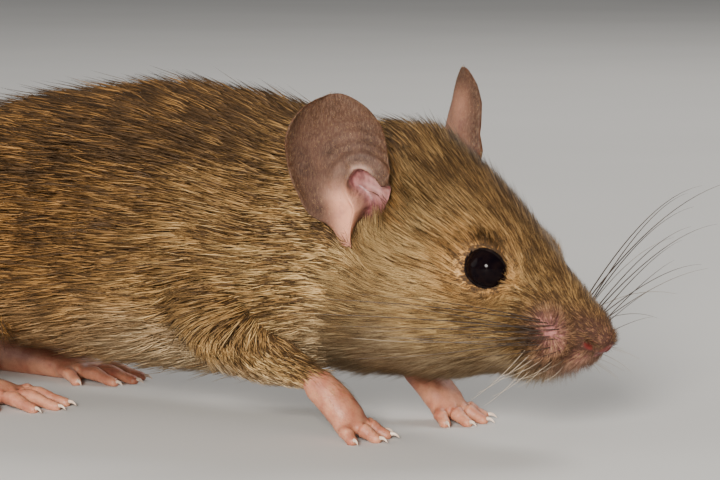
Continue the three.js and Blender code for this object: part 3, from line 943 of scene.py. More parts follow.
    def forms(self, front: Array, height: Array) -> tuple[Array, Array, Array]:
        """Tells how places lie to the forms of the inside, in millimetres.

        Args:
            front: Share of the half-width towards the front edge.
            height: Share of the ear's height.
        Returns:
            The distance to the ridge, how far below it a place lies, and how far beyond the lobe's edge.
        """
        gap = self.gap_to(self.ridge, front, height)
        below = (along_steps(self.ridge, front) - height) * self.heights[self.hand]
        beyond = (front - self.edge_at(height)) * self.width / 2
        return gap, below, beyond

    def gap_to(self, path: Sequence, front: Array, height: Array) -> Array:
        """Gives the distance to a line drawn on the sheet, in millimetres."""
        scale = np.array([self.width / 2, self.heights[self.hand]])
        return path_gap(np.stack([front, height], -1) * scale, np.array(path) * scale)

    def relief(self, front: Array, height: Array) -> tuple[Array, Array]:
        """Works out the forms of the inside, in millimetres towards the viewer of the cup.

        The lobe is a swelling that ends at a sharp edge, the bowl sinks beyond it under an arched ridge, and
        shallow folds run round the ridge.

        Args:
            front: Share of the half-width towards the front edge.
            height: Share of the ear's height.
        Returns:
            The height of the inner face, and that of the outer face.
        """
        gap, below, beyond = self.forms(front, height)
        edge_gap = self.gap_to(self.lobe_edge, front, height)
        swell = fade(front, -0.75, 0.02) * fade(height, 0.5, 0.3)
        lobe = self.lobe_height * swell * fade(beyond, 0.12, -0.12)
        roll = 0.28 * np.exp(-((edge_gap - 0.25) ** 2) / 0.06) * (beyond < 0) * fade(height, 0.46, 0.4)
        bowl = -self.bowl_depth * fade(beyond, -0.1, 0.35) * fade(below, -0.05, 0.45)
        bowl = bowl * fade(height, 0.05, 0.2)
        arch = 0.55 * np.exp(-((gap / 0.3) ** 2)) * fade(front, 0.06, 0.2)
        folds = np.zeros_like(gap)
        for distance, depth, width in self.folds:
            folds -= depth * np.exp(-(((gap - distance) / width) ** 2)) * (below < 0)
        folds *= fade(front, -0.5, 0.1) * fade(front, 1.0, 0.8)
        back = 0.75 * self.lobe_height * swell * fade(beyond, -0.35, -0.9)
        return lobe + roll + bowl + arch + folds, back + np.minimum(bowl * 0.8, 0)

    def skin(self) -> Patch:
        """Makes the closed sheet: along its inner face from front to rear, and back along the outer."""
        v = np.linspace(0, 1, self.rows + 2)[1:-1]
        height = (1 - np.cos(v * np.pi)) / 2
        inner = np.linspace(1, -1, self.across, endpoint=False)
        share = np.concatenate([inner, -inner])
        side = np.concatenate([np.full(self.across, -1.0), np.full(self.across, 1.0)])
        share, height = np.broadcast_arrays(share[None, :], height[:, None])
        front = self.front_at(share, height)
        closing = np.sqrt(np.maximum(1 - np.abs(share) ** 7, 0)) * np.minimum(1, 6 * (1 - height)) ** 0.5
        inside, outside = self.relief(front, height)
        ripple = 0.05 * np.sin(front * 9 + height * 17) * fade(height, 0.3, 0.6)
        thick = side * closing * self.thickness / 2
        lift = np.where(side < 0, inside, outside)
        lift = np.where(np.abs(share) > 0.98, outside, lift)
        rings = self.sheet(front, height, thick - lift + ripple)
        u = self.tile_start[self.hand]
        return Patch.of_rings(rings, Region.EAR, (u, 0.82, u + self.tile_width, 0.98), height[:, 0])

    def colours(self, unwrap: Array, height: Array) -> dict[str, Array]:
        """Works out how much of each colour of the ear shows, from a place's turn round it and its height.

        Args:
            unwrap: Places on the flat unwrap.
            height: Shares of the ear's height.
        Returns:
            The shares of bowl, painted highlight in the bowl, lobe, painted highlight along the arch, and rim,
            by name.
        """
        turn = np.clip((unwrap[:, 0] - self.tile_start[self.hand]) / self.tile_width, 0, 1)
        inner = turn < 0.5
        share = np.where(inner, 1 - 4 * turn, 4 * turn - 3)
        front = self.front_at(share, height)
        gap, below, beyond = self.forms(front, height)
        bowl = fade(beyond, -0.05, 0.15) * fade(below, 0.0, 0.35)
        slant = 0.5 * front * self.width / 2 + height * self.heights[self.hand]
        streak = 0.5 + 0.5 * np.sin(9.0 * slant + 2 * front)
        # a painted highlight in the bowl, streaked, round one spot
        bell = np.exp(-(((front - 0.5) / 0.22) ** 2 + ((height - 0.36) / 0.07) ** 2))
        glow = 0.75 * bowl * bell * (0.4 + 0.6 * streak)
        lobe = fade(beyond, 0.05, -0.1) * fade(front, -0.5, -0.12) * fade(height, 0.46, 0.3)
        # a painted highlight along the arch of the ridge
        arch = np.exp(-(((gap - 0.05) / 0.2) ** 2)) * fade(front, 0.05, 0.25) * fade(front, 0.7, 0.4)
        edge = np.minimum(1 - np.abs(share), 2.2 * (1 - height))
        # the rim's colour lies along the edges and, a little less, over the whole top of the ear
        rim = np.maximum(fade(edge, 0.34, 0.0) * fade(height, 0.25, 0.5), 0.8 * fade(height, 0.6, 0.95))
        return {
            "bowl": np.where(inner, bowl, 0),
            "glow": np.where(inner, glow, 0),
            "lobe": np.where(inner, lobe, 0.34 * fade(edge, 0.1, 0.6)),
            "arch": np.where(inner, arch, 0),
            "rim": np.where(inner, rim, 0.2 + 0.6 * rim),
        }


# ------------------------------------------------------------------ whiskers
@dataclass
class Whiskers:
    """The whiskers of both sides: rows of tapered bent hairs from the pads."""

    sides: int = 5
    steps: int = 16
    root_radius: float = 0.048
    ground_gap: float = 1.2
    near_share: float = 0.66  # length on the right over that on the left
    seed: int = 5
    # each row of the pad: height of its first root, how far back it lies, and how many there are
    rows: Sequence = ((-0.35, 3.1, 4), (-1.0, 2.7, 5), (-1.6, 2.3, 6), (-2.25, 2.0, 6), (-2.9, 2.1, 5))

    @staticmethod
    def roots(hand: int) -> Array:
        """Lays out the roots in slanting rows over the pad, as (back, left, up) on the head.

        Args:
            hand: The side.
        Returns:
            One place for each whisker.
        """
        places = []
        for row, (up, first, count) in enumerate(Whiskers.rows):
            for column in range(count):
                back = first + 0.58 * column
                height = up - 0.05 * column - 0.05 * column * (row - 1)
                middle = -1.15 - 0.02 * back
                wide = np.interp(back, (0.5, 1.5, 3.1, 5.0, 7.7), (1.1, 1.9, 2.95, 3.45, 4.0))
                tall = np.interp(back, (0.5, 1.5, 3.1, 5.0, 7.7), (1.1, 2.2, 3.05, 3.8, 5.0))
                side = wide * math.sqrt(max(0.05, 1 - ((height - middle) / tall) ** 2))
                places.append((back, hand * side, height))
        return np.array(places)

    def curves(self, hand: int) -> tuple[Array, Array, Array]:
        """Gives each whisker's course: out of the pad, and swept back on the right or forwards on the left.

        Args:
            hand: The side.
        Returns:
            Points as [whisker, step, xyz], radii as [whisker, step], and how pale each whisker is.
        """
        rng = np.random.default_rng(self.seed + hand)
        roots = self.roots(hand)
        count = len(roots)
        upper = fade(roots[:, 2], -3.1, -0.6)
        column = fade(roots[:, 0], 1.9, 5.0)
        length = blend(8.0, 26.0, column**0.8) * rng.uniform(0.75, 1.1, count)
        length = length * blend(0.4, 1.0, fade(upper, 0.0, 0.7))
        wild = rng.normal(0, 1, (count, 2)) * blend(0.22, 0.1, upper)[:, None]
        if hand == RIGHT:
            length = length * self.near_share
            swept = blend(0.3, 1.4, column) * blend(0.3, 1.0, fade(upper, 0.1, 0.6))
            rising = np.interp(upper, (0, 0.3, 0.6, 1), (-1.9, -0.7, -0.4, -0.2))
            bend = np.stack([blend(0.3, 0.05, column), np.zeros(count), blend(0.2, -0.12, upper)], -1)
        else:
            swept = blend(-0.3, 0.15, column)
            rising = np.interp(upper, (0, 0.4, 0.7, 1), (-0.2, 0.35, 0.8, 1.25))
            bend = np.stack([blend(0.1, -0.1, column), np.zeros(count), blend(-0.15, -0.36, upper)], -1)
        start = unit(np.stack([swept + wild[:, 0], np.full(count, float(hand)), rising + wild[:, 1]], -1))
        t = np.linspace(0, 1, self.steps)[None, :, None]
        reach = start[:, None] * t + bend[:, None] * t**2
        path = head_place(roots[:, None] + length[:, None, None] * reach)
        path -= (path[:, 1:2] - path[:, :1]) * 0.3
        root_height = path[:, :1, 2]
        lowest = path[..., 2].min(1, keepdims=True)
        squeeze = np.clip((root_height - self.ground_gap) / np.maximum(root_height - lowest, 1e-6), 0, 1)
        path[..., 2] = root_height + (path[..., 2] - root_height) * squeeze
        thick = self.root_radius * np.sqrt(length / 20) * blend(0.7, 1.0, upper)
        radius = thick[:, None] * (1 - t[..., 0]) ** 0.8 + 0.006
        pale = np.clip(1 - 1.6 * upper + rng.normal(0, 0.15, count), 0, 1)
        return path, radius, pale

    def build(self) -> bpy.types.Object:
        """Carries a small round section along every whisker, and stores how pale each place is, paler towards
        the tip.
        """
        courses, radii, pale = map(np.concatenate, zip(*(self.curves(hand) for hand in HANDS)))
        forward = unit(np.gradient(courses, axis=1))
        side = unit(np.cross(forward, np.array([0.02, 0.03, 1.0])))
        above = np.cross(side, forward)
        turn = np.linspace(0, 2 * np.pi, self.sides, endpoint=False)
        rings = courses[:, :, None] + radii[:, :, None, None] * (
            np.cos(turn)[:, None] * side[:, :, None] + np.sin(turn)[:, None] * above[:, :, None]
        )
        points, faces = tubes_between(rings)
        mesh = bare_mesh("whiskers", in_frame(points), faces)
        paleness = pale[:, None, None] * 0.8 + 0.35 * np.linspace(0, 1, self.steps)[None, :, None]
        carry(mesh, "pale", np.broadcast_to(np.clip(paleness, 0, 1), rings.shape[:3]).ravel())
        mesh.materials.append(WhiskerFinish().material())
        return piece("whiskers", mesh, "coat")


def tubes_between(rings: Array) -> tuple[Array, Array]:
    """Joins many like tubes in one list: triangles between rings, and a fan over each open end.

    Args:
        rings: Points as [tube, row, around, xyz].
    Returns:
        The points and the triangles.
    """
    count, rows, around = rings.shape[:3]
    ring = np.arange(1, around - 1)
    last = (rows - 1) * around
    fan = np.zeros(around - 2, int)
    one = np.concatenate(
        [
            between_rings(rows, around),
            np.stack([fan, ring + 1, ring], -1),
            np.stack([fan + last, last + ring, last + ring + 1], -1),
        ]
    )
    one = outwards(rings[0].reshape(-1, 3), one)
    faces = (one[None] + (np.arange(count) * rows * around)[:, None, None]).reshape(-1, 3)
    return rings.reshape(-1, 3), faces


# ------------------------------------------------------------------ the skin, joined from its patches
@dataclass
class Hide:
    """The finished skin: its triangles, and what the coat has to know at each vertex."""

    points: Array
    faces: Array
    lie: Array
    unwrap: Array
    place: Array
    region: Array
    hair: Array
    normals: Array


def neighbours_mean(values: Array, edges: Array, count: int) -> Array:
    """Averages each vertex's neighbours: sums over the edges, divided by how many there are."""
    flat = values.reshape(count, -1)
    total = np.zeros_like(flat)
    for here, there in (edges.T, edges.T[::-1]):
        for column in range(flat.shape[1]):
            total[:, column] += np.bincount(here, flat[there, column], count)
    number = np.bincount(edges.ravel(), minlength=count)
    return (total / np.maximum(number, 1)[:, None]).reshape(values.shape)


def vertex_normals(points: Array, faces: Array) -> Array:
    """Adds up the cross products of the triangles round each vertex, and makes them one long."""
    corners = points[faces]
    across = np.cross(corners[:, 1] - corners[:, 0], corners[:, 2] - corners[:, 0])
    total = np.zeros_like(points)
    for corner in range(3):
        for axis in range(3):
            total[:, axis] += np.bincount(faces[:, corner], across[:, axis], len(points))
    return unit(total)


@dataclass
class SkinMaker:
    """Joins the patches into one skin without a seam, and softens the creases where they met."""

    smoothing: int = 14
    spread: float = 0.86
    spread_rounds: int = 8
    lie_rounds: int = 10

    def patches(self) -> list[list[Patch]]:
        """Makes every patch, grouped so that those of a group don't touch each other."""
        limbs = all_limbs()
        fleshes = [limb.flesh() for limb in limbs]
        digits = [limb.digits() for limb in limbs]
        groups = [
            [Body().skin()],
            [Lids().skin(hand) for hand in HANDS],
            [Ear(hand).skin() for hand in HANDS],
        ]
        groups.append([flesh[0] for flesh in fleshes] + [Tail().skin()])
        groups.append([flesh[1] for flesh in fleshes if len(flesh) > 1])
        groups.append([limb.foot() for limb in limbs])
        for number in range(max(map(len, digits))):
            groups.append([toes[number] for toes in digits if len(toes) > number])
        return groups

    def joined(self, groups: list[list[Patch]]) -> tuple[Array, Array, Array]:
        """Joins the groups with exact unions, and carries each vertex's number through them.

        Args:
            groups: Patches in groups.
        Returns:
            The points, the triangles, and the number of the patch point each came from, or -1 if it is new.
        """
        objects = []
        start = 0
        for number, group in enumerate(groups):
            points, faces = Patch.joined(group)
            mesh = bare_mesh(f"patch_{number}", points, faces)
            carry(mesh, "source", np.arange(start, start + len(points)) + 1.0)
            start += len(points)
            patch = bpy.data.objects.new(mesh.name, mesh)
            bpy.context.scene.collection.objects.link(patch)
            objects.append(patch)
        for other in objects[1:]:
            modifier = objects[0].modifiers.new("join", "BOOLEAN")
            modifier.operation = "UNION"
            modifier.solver = "MANIFOLD"
            modifier.object = other
        evaluated = objects[0].evaluated_get(bpy.context.evaluated_depsgraph_get())
        mesh = bpy.data.meshes.new_from_object(evaluated)
        mesh.calc_loop_triangles()
        count = len(mesh.vertices)
        points, source = np.zeros(count * 3, np.float32), np.zeros(count, np.float32)
        faces = np.zeros(len(mesh.loop_triangles) * 3, np.int32)
        mesh.vertices.foreach_get("co", points)
        mesh.attributes["source"].data.foreach_get("value", source)
        mesh.loop_triangles.foreach_get("vertices", faces)
        for thing in objects:
            used = thing.data
            bpy.data.objects.remove(thing)
            bpy.data.meshes.remove(used)
        bpy.data.meshes.remove(mesh)
        whole = np.abs(source - np.round(source)) < 1e-3
        number = np.where(whole, np.round(source).astype(int) - 1, -1)
        return points.reshape(-1, 3).astype(float), faces.reshape(-1, 3), number

    def make(self) -> Hide:
        """Makes the skin: joins the patches, softens the joins, and spreads what the coat needs over them."""
        groups = self.patches()
        patches = [patch for group in groups for patch in group]
        points, faces, source = self.joined(groups)
        pairs = np.concatenate([faces[:, pair] for pair in ([0, 1], [1, 2], [2, 0])])
        edges = np.unique(np.sort(pairs, axis=1), axis=0)
        both_ways = np.concatenate([edges, edges[:, ::-1]])
        count = len(points)
        lie = np.concatenate([patch.lie for patch in patches])[source]
        unwrap = np.concatenate([patch.unwrap for patch in patches])[source]
        place = np.concatenate([patch.place for patch in patches])[source]
        region = np.concatenate([np.full(len(patch.points), patch.region.value) for patch in patches])[source]
        new = source < 0
        edge = new.copy()
        while new.any():
            linked = both_ways[~new[both_ways[:, 0]] & new[both_ways[:, 1]]]
            if not len(linked):
                break
            for values in (lie, unwrap, place, region):
                values[linked[:, 1]] = values[linked[:, 0]]
            new[linked[:, 1]] = False
        soft = (region != Region.LID.value) & (region != Region.EAR.value)
        seam = edge.astype(float)
        for _ in range(self.spread_rounds):
            seam = np.maximum(seam, self.spread * neighbours_mean(seam, edges, count) * 1.6).clip(0, 1)
        for _ in range(self.smoothing):
            pull = (seam * np.where(soft, 0.6, 0.12))[:, None]
            points = points + pull * (neighbours_mean(points, edges, count) - points)
        points[:, 2] = np.maximum(points[:, 2], 0.0)
        normals = vertex_normals(points, faces)
        for _ in range(self.lie_rounds):
            lie = blend(lie, neighbours_mean(lie, edges, count), (seam * soft)[:, None])
        kinds = [region == kind.value for kind in (Region.BODY, Region.LEG, Region.FOOT, Region.TAIL)]
        lengths = [
            Body().hair(np.where(kinds[0], place, 0.0)),
            along_steps(LEG_HAIR, points[:, 2]),
            along_steps(FOOT_HAIR, points[:, 2]),
            TAIL_HAIR,
        ]
        return Hide(points, faces, lie, unwrap, place, region, np.select(kinds, lengths, EAR_HAIR), normals)


# ------------------------------------------------------------------ finishes
Colour = tuple[float, float, float]
Socket = bpy.types.NodeSocket


@dataclass
class Nodes:
    """Short ways to add and link nodes in one tree."""

    tree: bpy.types.NodeTree

    def add(self, kind: str, **values: object) -> bpy.types.Node:
        """Adds a node; keys with a capital or a number set its inputs, the others its own settings.

        Args:
            kind: The node's type name.
            **values: Settings, or inputs by name or as _number. A socket given is linked.
        Returns:
            The node.
        """
        node = self.tree.nodes.new(kind)
        for key, value in values.items():
            if key[0] == "_" or key[0].isupper():
                self.fill(node, **{key: value})
            else:
                setattr(node, key, value)
        return node

    def fill(self, node: bpy.types.Node, **values: object) -> None:
        """Sets inputs of a node, by name or as _number. A socket given is linked."""
        for key, value in values.items():
            socket = node.inputs[int(key[1:])] if key[0] == "_" else node.inputs[key.replace("_", " ")]
            if isinstance(value, Socket):
                self.tree.links.new(value, socket)
            else:
                socket.default_value = value

    def maths(self, operation: str, *values: object) -> Socket:
        """Adds a maths node over numbers or sockets, and gives its result."""
        inputs = {f"_{number}": value for number, value in enumerate(values)}
        return self.add("ShaderNodeMath", operation=operation, **inputs).outputs[0]

    def ramp(self, value: Socket, low: float, high: float, to: tuple[float, float] = (0.0, 1.0)) -> Socket:
        """Maps a value from low..high to another range, smoothly and clipped."""
        node = self.add("ShaderNodeMapRange", interpolation_type="SMOOTHSTEP")
        self.fill(node, _0=value, _1=low, _2=high, _3=to[0], _4=to[1])
        return node.outputs[0]

    def mix(self, share: object, a: object, b: object) -> Socket:
        """Mixes two colours by a share."""
        a, b = ((*colour, 1.0) if isinstance(colour, tuple) else colour for colour in (a, b))
        return self.add("ShaderNodeMix", data_type="RGBA", _0=share, _6=a, _7=b).outputs[2]

    def noise(self, place: Socket, scale: float, detail: float = 3.0, rough: float = 0.55) -> Socket:
        """Adds a noise over a place, and gives its value."""
        node = self.add("ShaderNodeTexNoise", Vector=place, Scale=scale, Detail=detail, Roughness=rough)
        return node.outputs[0]

    def bump(self, height: Socket, strength: float, distance: float) -> Socket:
        """Turns a height into a normal."""
        return self.add("ShaderNodeBump", Strength=strength, Distance=distance, Height=height).outputs[0]

    def read(self, name: str) -> Socket:
        """Reads a number stored on the mesh."""
        return self.add("ShaderNodeAttribute", attribute_name=name).outputs["Fac"]

    def place(self) -> Socket:
        """Reads the place on the piece, in metres."""
        return self.add("ShaderNodeTexCoord").outputs["Object"]


HAIR_MARKS = ("Along", "Shade", "Tone", "Dusk", "Gold", "Rose")


@dataclass(frozen=True)
class Agouti:
    """The wild colour of the coat: hairs banded in slate, ochre and dark brown, paler under the body."""

    slate: Colour = (0.045, 0.028, 0.018)
    dark: Colour = (0.03, 0.017, 0.009)
    brown: Colour = (0.085, 0.045, 0.018)
    ochre: Colour = (0.36, 0.2, 0.068)
    buff: Colour = (0.66, 0.45, 0.2)
    under_deep: Colour = (0.2, 0.12, 0.055)
    pale: Colour = (0.52, 0.38, 0.22)
    warm: Colour = (0.45, 0.2, 0.045)
    rose: Colour = (0.33, 0.125, 0.12)
    mauve: Colour = (0.06, 0.024, 0.019)

    def group(self) -> bpy.types.NodeTree:
        """Builds the group once: from how far along the hair, its shade and its markings to a colour."""
        name = "agouti"
        if name in bpy.data.node_groups:
            return bpy.data.node_groups[name]
        tree = bpy.data.node_groups.new(name, "ShaderNodeTree")
        for given_name in HAIR_MARKS:
            socket = tree.interface.new_socket(name=given_name, in_out="INPUT", socket_type="NodeSocketFloat")
            socket.default_value = 0.5 if given_name in ("Along", "Shade", "Tone") else 0.0
        tree.interface.new_socket(name="Color", in_out="OUTPUT", socket_type="NodeSocketColor")
        nodes = Nodes(tree)
        given = nodes.add("NodeGroupInput").outputs
        place = nodes.place()
        shade = given["Shade"]
        for scale, depth in ((330.0, 0.07), (80.0, 0.05)):
            patch = nodes.ramp(nodes.noise(place, scale, 2.0), 0.3, 0.7, (-depth, depth))
            shade = nodes.maths("ADD", shade, patch)
        # the dusk mark darkens the hair: darker hairs, and painted shade where the markings put it
        shade = nodes.maths("SUBTRACT", shade, nodes.maths("MULTIPLY", given["Dusk"], 0.4))
        gold = nodes.mix(nodes.ramp(shade, 0.45, 1.0), self.ochre, self.buff)
        band = nodes.mix(nodes.ramp(shade, 0.18, 0.46), self.brown, gold)
        under = nodes.mix(nodes.ramp(shade, 0.1, 0.9), self.under_deep, self.pale)
        band = nodes.mix(given["Tone"], under, band)
        golden = nodes.maths("MULTIPLY", given["Gold"], nodes.ramp(shade, 0.05, 0.4))
        band = nodes.mix(golden, band, self.warm)
        tip_share = nodes.maths("MULTIPLY", nodes.ramp(given["Along"], 0.7, 1.0), nodes.ramp(shade, 0.8, 0.4))
        tip_share = nodes.maths("MULTIPLY", tip_share, nodes.ramp(given["Tone"], 0.1, 0.8))
        tipped = nodes.mix(tip_share, band, self.dark)
        root_share = nodes.maths("MULTIPLY", nodes.ramp(given["Along"], 0.42, 0.06), 0.9)
        rooted = nodes.mix(root_share, tipped, self.slate)
        dusky = nodes.maths("MULTIPLY", given["Dusk"], 0.45)
        dim = nodes.maths("ADD", dusky, nodes.ramp(shade, 0.1, 0.75, (0.6, 0.0)))
        blush = nodes.mix(dim, self.rose, self.mauve)
        final = nodes.mix(given["Rose"], rooted, blush)
        nodes.add("NodeGroupOutput", _0=final)
        return tree


def new_material(name: str) -> tuple[bpy.types.Material, Nodes, bpy.types.Node]:
    """Makes a material with one surface shader.

    Args:
        name: Its name.
    Returns:
        The material, its nodes, and the shader.
    """
    material = bpy.data.materials.new(name)
    material.use_nodes = True
    material.node_tree.nodes.clear()
    nodes = Nodes(material.node_tree)
    shader = nodes.add("ShaderNodeBsdfPrincipled")
    nodes.add("ShaderNodeOutputMaterial", Surface=shader.outputs[0])
    return material, nodes, shader


@dataclass(frozen=True)
class HairFinish:
    """Hair of the coat: banded agouti, with a dull sheen."""

    name: str = "hair"
    roughness: float = 0.5
    specular: float = 0.22

    def material(self) -> bpy.types.Material:
        """Builds the finish from what each hair carries."""
        material, nodes, shader = new_material(self.name)
        marks = {name: nodes.read(name.lower()) for name in HAIR_MARKS}
        colour = nodes.add("ShaderNodeGroup", node_tree=Agouti().group(), **marks).outputs[0]
        nodes.fill(shader, Base_Color=colour, Roughness=self.roughness, Specular_IOR_Level=self.specular)
        return material


@dataclass(frozen=True)
class HideFinish:
    """Skin under the coat: the same markings as the hair over it, streaked along the body."""

    name: str = "hide"
    flesh: tuple[Colour, Colour] = ((0.09, 0.014, 0.012), (0.17, 0.035, 0.028))

    def material(self) -> bpy.types.Material:
        """Builds the finish: agouti streaks, with red flesh where the skin is bare."""
        material, nodes, shader = new_material(self.name)
        place = nodes.place()
        stretched = nodes.add("ShaderNodeMapping", Vector=place, Scale=(0.35, 1.0, 1.0)).outputs[0]
        streak = nodes.noise(stretched, 3800.0, 3.0, 0.7)
        marks = {name: nodes.read(name.lower()) for name in HAIR_MARKS[2:]}
        marks["Shade"] = nodes.ramp(streak, 0.3, 0.7)
        marks["Along"] = nodes.ramp(streak, 0.25, 0.75, (0.12, 0.45))
        coat = nodes.add("ShaderNodeGroup", node_tree=Agouti().group(), **marks).outputs[0]
        bare = nodes.read("bare")
        flesh = nodes.mix(nodes.ramp(nodes.noise(place, 900.0), 0.3, 0.7), *self.flesh)
        nodes.fill(
            shader,
            Base_Color=nodes.mix(bare, coat, flesh),
            Roughness=nodes.ramp(bare, 0.0, 1.0, (0.75, 0.28)),
            Specular_IOR_Level=0.15,
            Normal=nodes.bump(nodes.noise(place, 6000.0, 2.0), 0.35, 0.0001),
        )
        return material


@dataclass(frozen=True)
class BareFinish:
    """Bare skin of the feet: soft pink, a little darker between the grains."""

    name: str = "foot_skin"
    deep: Colour = (0.36, 0.12, 0.07)
    light: Colour = (0.58, 0.27, 0.16)

    def material(self) -> bpy.types.Material:
        """Builds the finish with fine wrinkles and light that goes a little way in."""
        material, nodes, shader = new_material(self.name)
        place = nodes.place()
        blotch = nodes.ramp(nodes.noise(place, 700.0, 4.0), 0.3, 0.72)
        grain = nodes.add("ShaderNodeTexVoronoi", feature="DISTANCE_TO_EDGE", Vector=place, Scale=5200.0)
        grain = grain.outputs[0]
        colour = nodes.mix(blotch, self.deep, self.light)
        nodes.fill(
            shader,
            Base_Color=nodes.mix(nodes.ramp(grain, 0.0, 0.09, (0.35, 0.0)), colour, self.deep),
            Roughness=0.48,
            Subsurface_Weight=0.35,
            Subsurface_Radius=(1.0, 0.4, 0.3),
            Subsurface_Scale=0.0006,
            Normal=nodes.bump(grain, 0.4, 0.00008),
        )
        return material


@dataclass(frozen=True)
class EarFinish:
    """Skin of the ears: mauve brown, with a brown rim that also covers the top, a pale lobe, a rosy bowl, and
    painted highlights in the bowl and along the ridge.
    """

    name: str = "ear_skin"
    shadow: Colour = (0.06, 0.03, 0.021)
    middle: Colour = (0.13, 0.066, 0.045)
    rim: Colour = (0.05, 0.019, 0.007)
    speck: Colour = (0.21, 0.125, 0.08)
    bowl: Colour = (0.3, 0.115, 0.11)
    vein: Colour = (0.13, 0.04, 0.04)
    # painted highlight in the bowl
    glow: Colour = (0.62, 0.36, 0.33)
    # painted highlight along the ridge
    ridge: Colour = (0.42, 0.26, 0.2)
    lobe: Colour = (0.66, 0.31, 0.2)

    def material(self) -> bpy.types.Material:
        """Builds the finish from the marks that the ear carries: bowl, painted highlight in the bowl, lobe,
        painted highlight along the arch, and rim.
        """
        material, nodes, shader = new_material(self.name)
        place = nodes.place()
        broad = nodes.ramp(nodes.noise(place, 420.0, 3.0, 0.6), 0.3, 0.7)
        stretched = nodes.add("ShaderNodeMapping", Vector=place, Scale=(1.0, 1.0, 0.3)).outputs[0]
        speck = nodes.ramp(nodes.noise(stretched, 8000.0, 3.0, 0.7), 0.4, 0.75, (0.0, 0.5))
        colour = nodes.mix(broad, self.shadow, self.middle)
        colour = nodes.mix(nodes.read("rim"), colour, self.rim)
        colour = nodes.mix(speck, colour, self.speck)
        streak = nodes.noise(stretched, 2600.0, 3.0)
        pink = nodes.mix(nodes.ramp(streak, 0.35, 0.65), self.vein, self.bowl)
        # painted highlight in the bowl
        pink = nodes.mix(nodes.read("glow"), pink, self.glow)
        colour = nodes.mix(nodes.read("bowl"), colour, pink)
        blotch = nodes.ramp(nodes.noise(place, 700.0, 3.0), 0.48, 0.75, (0.0, 0.6))
        blotch = nodes.mix(blotch, self.lobe, self.bowl)
        colour = nodes.mix(nodes.read("lobe"), colour, blotch)
        # painted highlight along the arch of the ridge
        colour = nodes.mix(nodes.maths("MULTIPLY", nodes.read("arch"), 0.8), colour, self.ridge)
        nodes.fill(
            shader,
            Base_Color=colour,
            Roughness=nodes.ramp(nodes.read("bowl"), 0.0, 1.0, (0.65, 0.32)),
            Specular_IOR_Level=0.25,
            Subsurface_Weight=0.25,
            Subsurface_Radius=(1.0, 0.4, 0.25),
            Subsurface_Scale=0.0005,
            Normal=nodes.bump(nodes.noise(place, 5000.0, 3.0), 0.35, 0.0001),
        )
        return material


@dataclass(frozen=True)
class TailFinish:
    """Skin of the tail: greyish brown above, pinker below, darker between the rings of scales."""

    name: str = "tail_skin"
    upper: Colour = (0.2, 0.135, 0.11)
    lower: Colour = (0.5, 0.33, 0.27)
    furrow: Colour = (0.08, 0.05, 0.04)

    def material(self) -> bpy.types.Material:
        """Builds the finish from the way that the skin faces, and a fine pattern of scales."""
        material, nodes, shader = new_material(self.name)
        place = nodes.place()
        facing = nodes.add("ShaderNodeNewGeometry").outputs["Normal"]
        up = nodes.add("ShaderNodeSeparateXYZ", _0=facing).outputs[2]
        colour = nodes.mix(nodes.ramp(up, -0.5, 0.7), self.lower, self.upper)
        scale = nodes.add("ShaderNodeTexVoronoi", Vector=place, Scale=2600.0).outputs["Distance"]
        colour = nodes.mix(nodes.ramp(scale, 0.2, 0.6, (0.0, 0.4)), colour, self.furrow)
        nodes.fill(shader, Base_Color=colour, Roughness=0.6, Normal=nodes.bump(scale, 0.5, 0.00008))
        return material


@dataclass(frozen=True)
class WhiskerFinish:
    """Whiskers: dark brown at the root, paler along their length and on the lowest rows."""

    name: str = "whisker"
    dark: Colour = (0.035, 0.022, 0.015)
    pale: Colour = (0.45, 0.36, 0.26)

    def material(self) -> bpy.types.Material:
        """Builds the finish from how pale each place is stored to be."""
        material, nodes, shader = new_material(self.name)
        mottle = nodes.ramp(nodes.noise(nodes.place(), 300.0), 0.3, 0.7, (-0.1, 0.1))
        share = nodes.ramp(nodes.maths("ADD", nodes.read("pale"), mottle), 0.15, 1.0)
        nodes.fill(shader, Base_Color=nodes.mix(share, self.dark, self.pale), Roughness=0.35)
        return material


@dataclass(frozen=True)
class PlainFinish:
    """A finish of one surface colour, mottled a little: lids, claws, the floor and eyes."""

    name: str
    colour: Colour
    second: Colour
    roughness: float
    scale: float = 1500.0
    specular: float = 0.5

    def material(self) -> bpy.types.Material:
        """Builds the finish by mixing its two colours over a fine noise."""
        material, nodes, shader = new_material(self.name)
        share = nodes.ramp(nodes.noise(nodes.place(), self.scale, 3.0), 0.3, 0.7)
        colour = nodes.mix(share, self.colour, self.second)
        nodes.fill(shader, Base_Color=colour, Roughness=self.roughness, Specular_IOR_Level=self.specular)
        return material


# ------------------------------------------------------------------ placing pieces in the frame
def frame_shift() -> Array:
    """Gives the step from construction places to the frame, in millimetres, from an eye that is in both."""
    low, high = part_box("eye_right")
    middle = (np.array(low) + np.array(high)) / 2 / MILLIMETRE
    return middle - head_place(sided(EYE, RIGHT))


SHIFT = frame_shift()


def in_frame(points: Array) -> Array:
    """Turns construction places into metres in the frame."""
    return (points + SHIFT) * MILLIMETRE


def piece(name: str, mesh: bpy.types.Mesh, slot: str, *replaced: str) -> bpy.types.Object:
    """Puts a mesh into the scene as a piece of the mouse.

    Args:
        name: The piece's name.
        mesh: Its mesh, already in the frame.
        slot: The record's material slot that it stands in for; not used.
        *replaced: CAD nodes that it replaces.
    Returns:
        The piece.
    """
    made = bpy.data.objects.new(name, mesh)
    bpy.context.scene.collection.objects.link(made)
    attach(made, "root")
    if replaced:
        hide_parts(*replaced)
    log.info("%s: %d triangles", name, len(mesh.polygons))
    return made


PAIRED = ("ear", "foreleg", "forefoot", "hindleg", "hindfoot")
FLESH = ("head", "neck", "trunk", "tail_base", "tail_middle", "tail_tip") + tuple(
    f"{part}_{side}" for part in PAIRED for side in ("left", "right")
)


